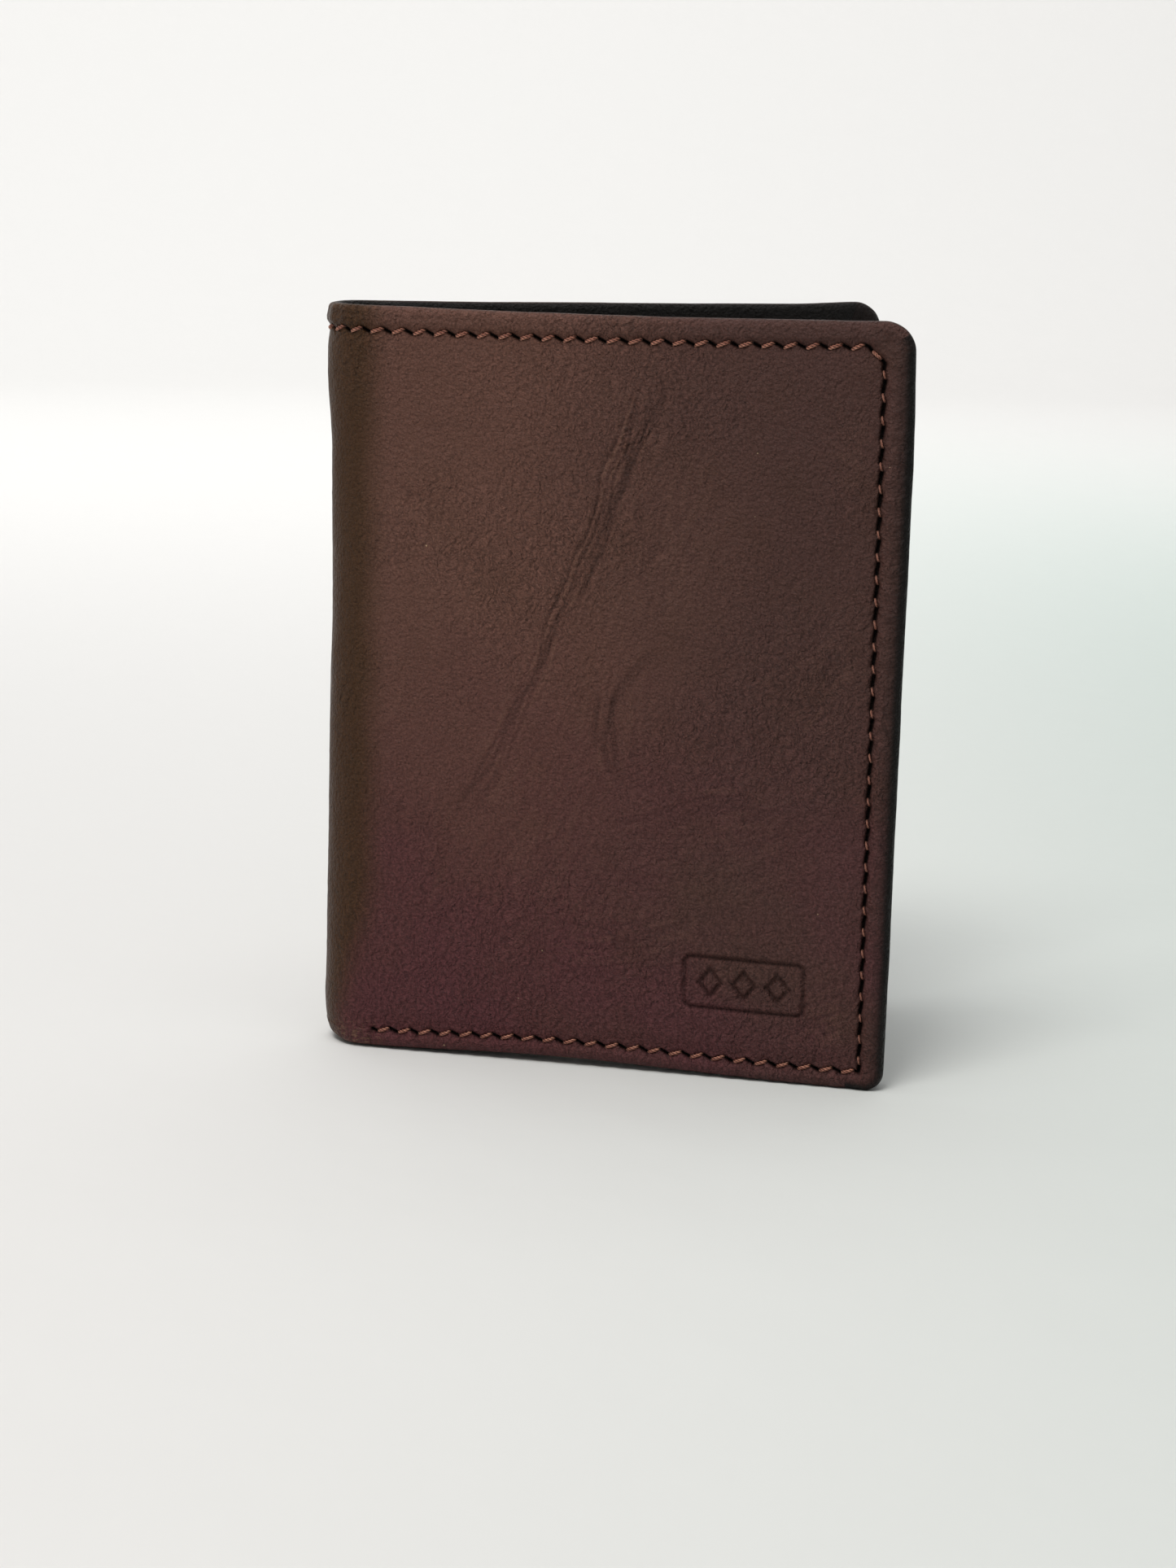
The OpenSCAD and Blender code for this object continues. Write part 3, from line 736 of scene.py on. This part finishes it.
def strip_mouth(k):
    return MOUTH_LOW + (4 - k) * MOUTH_STEP


def strip_base(k):
    return PANEL_TOP + GLUE + (k - 1) * (BAG + GLUE)


def strip_head(k):
    return strip_base(1) if k == 1 else strip_base(k - 1) + POCKET + GLUE


def strip_foot(k):
    return STACK_INSET if k == 4 else strip_mouth(k) - STRIP


DEEP_BACK = PANEL_TOP + BAG
FILM_BACK = DEEP_BACK + POCKET
FRAME_BACK = FILM_BACK + FILM
FRAME_FACE = FRAME_BACK + POCKET


def top_face(side, z):
    """Depth of the innermost layer at height z."""
    if z > STACK_TOP:
        return HEM_DEPTH
    if side == FRONT:
        return PANEL_TOP if z > DEEP_MOUTH else FILM_BACK if z > WINDOW_MOUTH else FRAME_FACE
    for k in (4, 3, 2, 1):
        if z <= strip_mouth(k):
            t = (z - strip_foot(k)) / (strip_mouth(k) - strip_foot(k))
            return strip_base(k) + (strip_head(k) - strip_base(k)) * t + POCKET
    return PANEL_TOP


def add_inner_stitches(shell, run, face, slant, start=-math.inf):
    """A run's stitches on the inner layers, past start. face gives the depth that each lies on."""
    middles = run.middles()
    middles = middles[middles[:, 0] > start]
    depths = [face(z) for z in middles[:, 1]]
    add_stitches(shell, middles, run.along, PITCH * INSIDE_STITCH / 2, depths, INWARDS, slant,
                 0.24, 0.35)


def make_inner_stitches(side):
    """The seam's inner side, and the seam along the fold side of the pockets."""
    def face(z):
        return max(top_face(side, z + t) for t in (-1.2, 0, 1.2))

    shell = Shell(side)
    for run in SEAM:
        add_inner_stitches(shell, run, face, -0.2, S_TURN)
    shell.ride(f"{NAME[side]}_inner_stitches", "thread", f"{NAME[side]}_bobbin_thread")
    shell = Shell(side)
    at = STACK_LEFT + 1.3
    add_inner_stitches(shell, Run((at, STACK_TOP - 2.5), (at, STACK_INSET + 2.5)), face, 0.2)
    shell.ride(f"{NAME[side]}_pocket_edge_stitches", "thread", f"{NAME[side]}_pocket_edge_thread")


ROUNDING = 1 - np.cos(np.radians([0, 25, 50, 72, 90]))   # lines across a rounded edge


def edge_lines(lo, hi, soft, step):
    """Lattice lines from lo to hi, close together where the edge rounds over."""
    near = soft * ROUNDING
    return join(lo + near, even(lo + soft, hi - soft, step)[1:-1], hi - near[::-1])


def corners(box, radii):
    """Each corner's place, its way outwards and its radius, anticlockwise from the low left."""
    (x0, z0), (x1, z1) = box
    return zip((x0, x1, x1, x0), (z0, z0, z1, z1), (-1, 1, 1, -1), (-1, -1, 1, 1), radii)


def round_corners(s, z, box, radii):
    """Moves lattice points near a corner so that the outline is round there."""
    for cx, cz, sx, sz, r in corners(box, radii):
        a, b = ((s - cx) * sx + r) / r, ((z - cz) * sz + r) / r
        here = (a > 0) & (b > 0)
        a, b = np.clip(a, 0, 1), np.clip(b, 0, 1)
        s = np.where(here, cx - sx * r + sx * r * a * np.sqrt(1 - b * b / 2), s)
        z = np.where(here, cz - sz * r + sz * r * b * np.sqrt(1 - a * a / 2), z)
    return s, z


def inside_rounded(s, z, box, radii):
    """Signed distance inside a rectangle whose corners have their own radii, positive inside."""
    (x0, z0), (x1, z1) = box
    inside = np.minimum(np.minimum(s - x0, x1 - s), np.minimum(z - z0, z1 - z))
    for cx, cz, sx, sz, r in corners(box, radii):
        ds, dz = (s - cx) * sx + r, (z - cz) * sz + r
        inside = np.where((ds > 0) & (dz > 0), r - np.hypot(ds, dz), inside)
    return inside


def two_faces(shell, s, z, middle, half, inside, soft, wrap=False):
    """A closed leaf: an inner and an outer face that meet in a rounded rim."""
    share = 1 - np.clip(inside / soft, 0, 1)
    half = half * np.sqrt(np.clip(1 - share ** 2, 0, 1))
    faces = grid(*s.shape, wrap=wrap)
    shell.add(s, z, np.stack([middle + half, middle - half]), [faces, faces + s.size])


def stack_box(low, high):
    return (STACK_LEFT, low), (STACK_RIGHT, high)


def notched(s, z, box, inside, middle):
    """Draws the top edge of a leaf down round a thumb notch."""
    (_, z0), (_, z1) = box
    cut = np.sqrt(np.clip(NOTCH_R ** 2 - (s - middle) ** 2, 0, None))
    share = (z - z0) / (z1 - z0)
    z, by_top = z - cut * share ** 3, inside + cut * share ** 3
    aside = np.abs(s - middle)
    by_notch = np.clip(np.minimum(by_top, np.hypot(s - middle, z - z1) - NOTCH_R), 0, None)
    inside = np.where(aside < NOTCH_R + 3, by_notch, inside)
    return z, np.where((aside < NOTCH_R) & (share > 0.9999), 0, inside)


def make_leaf(name, side, box, back, replaced, seed, thick=POCKET, radii=STACK_R, step=0.9,
              slot="inner_leather", lean=0.0, line=True, mouth_soft=0.0, notch=False):
    """A sheet with rounded edges. lean tips its head into the case, line presses a line along its
    mouth, and a notch cuts its top."""
    (x0, z0), (x1, z1) = box
    soft = thick * 0.55
    across, up = edge_lines(x0, x1, soft, step), edge_lines(z0, z1, soft, step)
    notch_at = S_TURN + FLAT / 2
    if notch:
        fine = notch_at + (NOTCH_R + 2) * np.sin(np.linspace(-math.pi / 2, math.pi / 2, 49))
        across = across[np.abs(across - notch_at) > NOTCH_R + 2.2]
        across = np.sort(join(across, fine))
    s, z = round_corners(*np.meshgrid(across, up, indexing="ij"), box, radii)
    inside = np.maximum(inside_rounded(s, z, box, radii), 0)
    if notch:
        z, inside = notched(s, z, box, inside, notch_at)
    wave = 0.05 * waves(s / 14, z / 14, seed) + 0.02 * waves(s / 3, z / 3, seed + 1)
    wave = min(thick, 0.6) * wave * np.clip(inside / 3, 0, 1)
    wave = wave + mouth_soft * ease(z, z1 - 12, z1) * np.sin(np.pi * (s - x0) / (x1 - x0))
    pressed = 0.09 * bell((inside if notch else z1 - z) - LINE_IN, 0.28) * line
    middle = back + thick / 2 + lean * (z - z0) / (z1 - z0) + wave
    shell = Shell(side)
    two_faces(shell, s, z, middle, thick / 2 - pressed, inside, soft)
    shell.ride(name, slot, replaced, weld=0.01)


def pull_round(s, z, box, r):
    """Moves points of a rectangle's outline in to its rounded corners."""
    (x0, z0), (x1, z1) = box
    cs, cz = np.clip(s, x0 + r, x1 - r), np.clip(z, z0 + r, z1 - r)
    ds, dz = s - cs, z - cz
    corner = (np.abs(ds) > 0) & (np.abs(dz) > 0)
    scale = np.where(corner, r / np.maximum(np.hypot(ds, dz), 1e-9), 1)
    return cs + ds * scale, cz + dz * scale


def outline(box, r, count=92):
    """count points along each side of a rounded rectangle, closer together near the corners."""
    (x0, z0), (x1, z1) = box
    at = np.array([(x0, z0), (x1, z0), (x1, z1), (x0, z1), (x0, z0)])
    k, t = np.divmod(np.arange(4 * count), count)
    t = (0.6 * ease(t / count, 0, 1) + 0.4 * t / count)[:, None]
    return pull_round(*(at[k] * (1 - t) + at[k + 1] * t).T, box, r)


def make_ring(name, side, outer, inner, inner_r, back, replaced, seed):
    """A frame round a window: a ring of leather with both rims rounded."""
    thick = POCKET
    soft = thick * 0.55
    (hole_s, hole_z), (rim_s, rim_z) = outline(inner, inner_r), outline(outer, 1.2)
    wide = np.hypot(rim_s - hole_s, rim_z - hole_z)
    ends = soft * ROUNDING[:, None]
    beside_line = np.array([1.0, 1.45, LINE_IN, 1.95, 2.4])[:, None]
    rest = np.linspace(0, 1, 9)[1:-1, None]
    e = join(ends + 0 * wide, beside_line + 0 * wide, 2.4 + (wide - 2.4 - soft) * rest,
             wide - ends[::-1])
    s = hole_s + (rim_s - hole_s) * e / wide
    z = hole_z + (rim_z - hole_z) * e / wide
    inside = np.minimum(e, wide - e)
    wave = 0.03 * waves(s / 12, z / 12, seed) * np.clip(inside / 3, 0, 1)
    half = thick / 2 - 0.06 * bell(e - LINE_IN, 0.35)
    shell = Shell(side)
    two_faces(shell, s, z, back + thick / 2 + wave, half, inside, soft, wrap=True)
    shell.ride(name, "inner_leather", replaced, weld=0.01)


# ---- materials ----


class Nodes:
    """Short ways to make and join shader nodes."""

    def __init__(self, name):
        self.material = bpy.data.materials.new(name)
        self.material.use_nodes = True
        self.tree = self.material.node_tree
        self.shader = self.tree.nodes["Principled BSDF"]

    def node(self, kind, inputs=(), **settings):
        made = self.tree.nodes.new("ShaderNode" + kind)
        for key, value in settings.items():
            setattr(made, key, value)
        for key, value in dict(inputs).items():
            self.feed(made.inputs[key], value)
        return made

    def feed(self, socket, value):
        if isinstance(value, bpy.types.NodeSocket):
            self.tree.links.new(value, socket)
        else:
            socket.default_value = value

    def math(self, operation, a, b, clamp=False):
        return self.node("Math", {0: a, 1: b}, operation=operation, use_clamp=clamp).outputs[0]

    def times(self, a, b):
        return self.math("MULTIPLY", a, b)

    def plus(self, a, b):
        return self.math("ADD", a, b)

    def ramp(self, value, start, end, first=0.0, last=1.0):
        """A smooth change from first at start to last at end."""
        made = self.node("ValToRGB", {"Fac": value})
        made.color_ramp.interpolation = "EASE"
        for point, at, level in zip(made.color_ramp.elements, (start, end), (first, last)):
            point.position, point.color = at, (level, level, level, 1)
        return made.outputs["Color"]

    def mix(self, amount, a, b, blend="MIX"):
        made = self.node("Mix", {0: amount, 6: a, 7: b}, data_type="RGBA", blend_type=blend)
        return made.outputs[2]

    def flat(self):
        return self.node("UVMap", uv_map="flat").outputs["UV"]

    def point_value(self, name):
        return self.node("Attribute", attribute_name=name).outputs["Fac"]

    def in_frame(self):
        return self.node("TexCoord").outputs["Object"]

    def axes(self, vector):
        return self.node("SeparateXYZ", {"Vector": vector}).outputs

    def joined(self, x, y=0.0):
        return self.node("CombineXYZ", {"X": x, "Y": y}).outputs[0]

    def moved(self, vector, by):
        return self.node("VectorMath", {0: vector, 1: by}, operation="ADD").outputs[0]

    def stretch(self, vector, scale, turn=0.0):
        made = self.node("Mapping", {"Vector": vector, "Scale": scale, "Rotation": (0, 0, turn)})
        return made.outputs["Vector"]

    def noise(self, vector, scale, detail=2.0, rough=0.5, twist=0.0):
        made = self.node("TexNoise", {"Vector": vector, "Scale": scale, "Detail": detail,
                                      "Roughness": rough, "Distortion": twist})
        return made.outputs["Fac"]

    def bump(self, height, distance, normal=None):
        made = self.node("Bump", {"Height": height, "Distance": distance, "Strength": 1.0})
        if normal is not None:
            self.feed(made.inputs["Normal"], normal)
        return made.outputs["Normal"]

    def finish(self, **inputs):
        for key, value in inputs.items():
            self.feed(self.shader.inputs[key.replace("_", " ")], value)
        return self.material


def rgb(*levels):
    """A colour from its 0 to 255 screen values, as light."""
    return tuple(v / 255 / 12.92 if v <= 10 else ((v / 255 + 0.055) / 1.055) ** 2.4
                 for v in levels) + (1,)


def leather_material(name, warm, foot_shade_colour, far, olive, purple, rough, grain):
    """Smooth dyed leather: pebbled grain, fine wrinkles, mottled dye, painted light and shade, and
    near-black turned edges. The texture lies on the flat skin, 100 mm to a texture unit."""
    n = Nodes(name)
    flat = n.flat()
    out, up, _ = n.axes(flat)
    out = n.math("ABSOLUTE", out, 0.0)

    # Relief: wrinkles, pebbles and pores. The wrinkles' slope is also painted light and shade.
    warp = n.noise(flat, 60)
    pebbles = n.node("TexVoronoi", {"Vector": n.moved(flat, n.joined(n.times(warp, 0.006))),
                                    "Scale": 170, "Smoothness": 0.5}, feature="SMOOTH_F1")
    bent = n.moved(flat, n.joined(n.times(n.noise(flat, 22), 0.05), n.times(warp, 0.02)))
    wrinkled = n.stretch(bent, (130, 75, 1), 0.55)
    folds, aside = (n.noise(at, 1.0, 2, 0.55, 0.4)
                    for at in (wrinkled, n.moved(wrinkled, (0.28, 0.16, 0))))
    relief_and_shade = n.plus(0.5, n.times(n.math("SUBTRACT", folds, aside), 2.2))
    where = n.ramp(n.noise(flat, 3), 0.36, 0.66, 0.14)
    normal = n.bump(n.times(folds, where), grain * 2.6)
    normal = n.bump(pebbles.outputs["Distance"], -grain * 1.4, normal)
    normal = n.bump(n.noise(flat, 420, 2, 0.6), grain * 1.2, normal)

    # Dye: darker towards the foot and far from the fold, purple and olive in patches.
    patchy = n.noise(flat, 7, 4, 0.6)
    sway = n.times(n.noise(flat, 2.4, 1), 0.35)
    # Painted shade: darker towards the foot and far from the fold, where the light falls off.
    foot_shade = n.ramp(n.plus(up, sway), 0.25, 1.1, 1, 0)
    outer = n.ramp(n.plus(out, sway), 0.5, 1.05)
    # Painted shade and painted olive reflection along the fold, where it curves away.
    fold_shade_reach = n.plus(n.plus(out, n.ramp(up, 0.02, 0.3, 0.06, 0)), n.times(patchy, 0.03))
    purples = n.times(foot_shade, n.ramp(n.noise(flat, 3.5), 0.3, 0.7))
    blotches = n.ramp(n.noise(n.stretch(flat, (1, 1, 1), 0.7), 11, 3, 0.6), 0.4, 0.8)
    colour = n.mix(outer, n.mix(foot_shade, warm, foot_shade_colour), far)
    for amount, share, tint in ((purples, 0.6, purple), (blotches, 0.15, olive),
                                (n.ramp(fold_shade_reach, 0.105, 0.168, 1, 0), 0.9, olive)):
        colour = n.mix(n.times(amount, share), colour, tint)
    speckle = n.ramp(n.noise(flat, 300, 3, 0.7), 0.3, 0.7, 0.74, 1.26)
    colour = n.mix(1.0, colour, speckle, "MULTIPLY")
    # Painted light and shade of the wrinkles' slopes, as if lit from one side.
    slope_shade_amount = n.times(n.math("MAXIMUM", where, foot_shade), 0.55)
    colour = n.mix(slope_shade_amount, colour, n.ramp(relief_and_shade, 0.15, 0.85, 0.6, 1.5), "MULTIPLY")

    # Wear at the foot of the fold, near-black turned edges, painted shade and highlight, and dust.
    scuffs = n.ramp(n.noise(n.stretch(flat, (90, 260, 1)), 1.0, 4, 0.7), 0.50, 0.60)
    at_foot = n.times(n.ramp(up, 0.0, 0.06, 1, 0), n.ramp(out, 0.10, 0.16, 1, 0))
    dust = n.node("TexVoronoi", {"Vector": flat, "Scale": 24}, feature="F1").outputs
    few = n.math("GREATER_THAN", n.axes(dust["Color"])["X"], 0.9)
    specks = n.times(n.math("LESS_THAN", dust["Distance"], 0.034), few)
    shade = n.point_value("shade")
    # Painted shade on the side edge and in seams, creases and stamp; painted highlight by creases.
    for amount, over in ((n.times(at_foot, n.times(scuffs, 0.5)), rgb(150, 118, 92)),
                         (n.point_value("hem"), rgb(12, 9, 7)),
                         (n.math("MAXIMUM", shade, 0.0), rgb(9, 6, 5)),
                         (n.math("MULTIPLY", shade, -1.5, clamp=True), rgb(150, 112, 92)),
                         (n.times(specks, 0.6), rgb(190, 165, 130))):
        colour = n.mix(amount, colour, over)
    uneven = n.ramp(patchy, 0.3, 0.7, rough - 0.05, rough + 0.06)
    return n.finish(Base_Color=colour, Roughness=uneven, Normal=normal, Specular_IOR_Level=0.15)


def thread_material():
    """Copper brown twisted thread with fine fibres along each ply, and painted shade between its
    plies and at its ends.
    """
    n = Nodes("thread")
    flat = n.flat()
    fibres = n.noise(n.stretch(flat, (60, 900, 1)), 1.0, 3, 0.6)
    colour = n.mix(n.ramp(n.noise(flat, 30), 0.35, 0.65), rgb(150, 88, 70), rgb(216, 152, 126))
    colour = n.mix(0.8, colour, n.ramp(fibres, 0.3, 0.65, 0.55, 1.15), "MULTIPLY")
    # Painted shade between the plies and at the stitch ends.
    colour = n.mix(n.point_value("shade"), colour, rgb(38, 17, 12))
    return n.finish(Base_Color=colour, Roughness=0.42, Normal=n.bump(fibres, 0.00006),
                    Specular_IOR_Level=0.45, Sheen_Weight=0.1, Sheen_Roughness=0.35)


def fabric_material(name, on_skin):
    """Fine twill lining. on_skin pieces have texture places, and the others use the frame's."""
    n = Nodes(name)
    if on_skin:
        flat = n.stretch(n.flat(), (100, 100, 1))
    else:
        x, _, z = n.axes(n.in_frame())
        flat = n.joined(n.times(x, 1000), n.times(z, 1000))
    warp = n.node("TexWave", {"Vector": n.stretch(flat, (1, 1, 1), 0.78), "Scale": 1.1,
                              "Distortion": 0.6, "Detail": 2}, bands_direction="X").outputs["Fac"]
    weft = n.node("TexWave", {"Vector": flat, "Scale": 2.0, "Distortion": 0.5},
                  bands_direction="Y").outputs["Fac"]
    weave = n.plus(n.times(warp, 0.7), n.times(weft, 0.3))
    colour = n.mix(weave, rgb(26, 20, 20), rgb(44, 36, 35))
    colour = n.mix(0.7, colour, n.ramp(n.noise(flat, 0.4, 4), 0.3, 0.7, 0.75, 1.2), "MULTIPLY")
    return n.finish(Base_Color=colour, Roughness=0.85, Normal=n.bump(weave, 0.00008),
                    Specular_IOR_Level=0.3, Sheen_Weight=0.3, Sheen_Roughness=0.4)


def board_material():
    """Grey-brown pressed board."""
    n = Nodes("board")
    fibres = n.noise(n.stretch(n.in_frame(), (300, 300, 1400)), 1.0, 5, 0.7)
    colour = n.mix(n.ramp(fibres, 0.35, 0.7), rgb(96, 80, 66), rgb(140, 122, 102))
    flecks = n.ramp(n.noise(n.in_frame(), 1500), 0.4, 0.6, 0.7, 1.15)
    return n.finish(Base_Color=n.mix(0.5, colour, flecks, "MULTIPLY"), Roughness=0.9,
                    Normal=n.bump(fibres, 0.00008), Specular_IOR_Level=0.2)


def film_material():
    """Clear flexible film, a little hazy and scuffed."""
    n = Nodes("clear_film")
    scuffs = n.noise(n.stretch(n.flat(), (20, 260, 1), 0.6), 1.0, 4, 0.7)
    return n.finish(Base_Color=rgb(150, 153, 155), Roughness=n.ramp(scuffs, 0.5, 0.8, 0.10, 0.26),
                    Alpha=0.06, Normal=n.bump(n.noise(n.flat(), 7), 0.0003), Specular_IOR_Level=0.7)


# ---- the object ----

# The material of each slot. The CAD nodes that stay are dressed in dress_cad_nodes.
MATERIALS = {
    # Each leather's second and third colours are painted shade at the foot and far from the fold.
    "outer_leather": leather_material(
        "outer_leather", rgb(98, 67, 57), rgb(81, 46, 45), rgb(76, 51, 46), rgb(64, 42, 21),
        rgb(86, 46, 52), 0.42, 0.00024),
    "inner_leather": leather_material(
        "inner_leather", rgb(62, 46, 41), rgb(54, 40, 36), rgb(54, 40, 37), rgb(58, 45, 36),
        rgb(56, 40, 40), 0.46, 0.00012),
    "lining": fabric_material("lining_skin", True),
    "thread": thread_material(),
    "clear_film": film_material(),
}


def make_panels():
    """The inner panels, and the pockets and the window on them."""
    for side, name in NAME.items():
        make_leaf(f"{name}_panel", side, stack_box(STACK_INSET, STACK_TOP), HEM_DEPTH,
                  f"{name}_inner_panel", 200 + side, PANEL_TOP - HEM_DEPTH, step=1.2)
    for k in (1, 2, 3, 4):
        make_leaf(f"pocket_leather_{k}", BACK, stack_box(strip_foot(k), strip_mouth(k)),
                  strip_base(k), f"card_pocket_{k}", 210 + k, mouth_soft=0.05,
                  radii=STACK_R if k == 4 else (0.6,) * 4, lean=strip_head(k) - strip_base(k))
    make_leaf("deep_pocket_leather", FRONT, stack_box(STACK_INSET, DEEP_MOUTH), DEEP_BACK,
              "deep_pocket", 220, notch=True)
    face = stack_box(STACK_INSET, WINDOW_MOUTH)
    inset = np.array((WINDOW_BORDER, WINDOW_BORDER - 1))
    hole = np.array((face[0] + inset, face[1] - inset))
    make_ring("window_leather", FRONT, face, hole, 4.0, FRAME_BACK, "window_frame", 230)
    lap = np.array([[-4.5], [4.5]])
    make_leaf("window_sheet", FRONT, hole + lap, FILM_BACK + 0.09, "window_film", 240, FILM * 0.5,
              (1,) * 4, step=1.5, slot="clear_film", line=False)
    (x0, z0), (x1, z1) = hole + lap * 4 / 9
    shell = Shell(FRONT)
    for run in runs((x0, z1), (x1, z1), (x1, z0), (x0, z0), (x0, z1)):
        add_stitches(shell, run.middles(), run.along, run.step * INSIDE_STITCH / 2,
                     np.full(run.count, FRAME_FACE - 0.05), INWARDS, -0.25, 0.24, 0.35)
    shell.ride("window_stitches", "thread", "window_thread")


def dress_cad_nodes():
    """Materials for the CAD nodes that stay: boards, linings and the pockets' fabric."""
    board, lining = board_material(), fabric_material("lining", False)
    for name, obj in frame["nodes"].items():
        if not obj.hide_render:
            obj.data.materials.clear()
            obj.data.materials.append(board if "stiffener" in name else lining)


for half in (FRONT, BACK):
    make_skin(half)
    make_outer_stitches(half)
    make_fold_lining(half)
    make_inner_stitches(half)
make_panels()
dress_cad_nodes()

# ---- floor, light and camera ----


def make_backdrop():
    """A pale floor that curves up into a wall all round, with the case off its middle, and a
    painted green cast of light, a little darker, to the right of the case.
    """
    flat_r, turn_r, tall, middle_y, sides = 1.9, 0.6, 1.5, -0.45, 96
    turn = np.linspace(0, math.pi / 2, 16)
    r = join([0.02, 0.5, 1.2], flat_r + turn_r * np.sin(turn), [flat_r + turn_r])
    z = join([0, 0, 0], turn_r - turn_r * np.cos(turn), [tall])
    points = [(a * math.cos(b), middle_y + a * math.sin(b), c) for a, c in zip(r, z)
              for b in np.arange(sides) * 2 * math.pi / sides]
    faces = grid(len(r), sides, wrap=True).tolist() + [list(range(sides))]
    mesh = bpy.data.meshes.new("backdrop")
    mesh.from_pydata(points, [], faces, shade_flat=False)
    n = Nodes("backdrop")
    x, y, _ = n.axes(n.in_frame())
    right = n.ramp(n.plus(n.times(x, 2.0), 0.4), 0.2, 0.9)
    near = n.ramp(n.times(y, 0.5), 0.2, 0.7, 1, 0)
    # A painted green cast of light, a little darker, to the right of the case.
    tint = n.times(right, n.times(near, n.ramp(x, 0.35, 0.9, 1, 0)))
    mesh.materials.append(n.finish(
        Base_Color=n.mix(tint, rgb(222, 221, 219), rgb(200, 209, 204)), Roughness=0.9,
        Normal=n.bump(n.noise(n.in_frame(), 40, 3), 0.0006), Specular_IOR_Level=0.1))
    add_object("backdrop", mesh)


def area_light(name, spot, aim, size, power, colour=(1, 1, 1)):
    light = bpy.data.lights.new(name, "AREA")
    light.shape, light.size, light.size_y = "RECTANGLE", *size
    light.energy, light.color = power, colour
    obj = add_object(name, light)
    obj.location = spot
    obj.rotation_euler = (Vector(aim) - Vector(spot)).to_track_quat("-Z", "Y").to_euler()


def make_lights():
    """Broad soft light from above and from the front left, with a pale room around."""
    world = bpy.data.worlds.new("room")
    world.use_nodes = True
    background = world.node_tree.nodes["Background"].inputs
    background["Color"].default_value = (0.965, 0.975, 0.99, 1)
    background["Strength"].default_value = 0.35
    bpy.context.scene.world = world
    area_light("overhead", (-0.2, -0.1, 1.3), (0, 0, 0), (1.2, 1.0), 7.2)
    area_light("key", (-0.22, -0.42, 0.8), (-0.02, 0, 0.09), (0.35, 0.3), 3.8, (1.0, 0.98, 0.95))
    area_light("wall", (-0.2, 0.75, 1.2), (-0.2, 1.9, 0.3), (1.8, 0.5), 19)


def make_camera():
    """Looks down a little at the front cover, from a little to the left of the case's middle."""
    eye = Vector((-9.97, -524.6, 150.5)) * MM
    yaw, pitch, roll = (math.radians(a) for a in (0.81, 11.43, 1.13))
    data = bpy.data.cameras.new("camera")
    data.sensor_width, data.lens, data.clip_start = 36, 73.06, 0.01
    obj = add_object("camera", data)
    turn = (Matrix.Rotation(-yaw, 4, "Z") @ Matrix.Rotation(math.pi / 2 - pitch, 4, "X")
            @ Matrix.Rotation(roll, 4, "Z"))
    obj.matrix_world = Matrix.Translation(eye) @ turn
    bpy.context.scene.camera = obj


make_backdrop()
make_lights()
make_camera()
bpy.context.scene.view_settings.view_transform = "Standard"
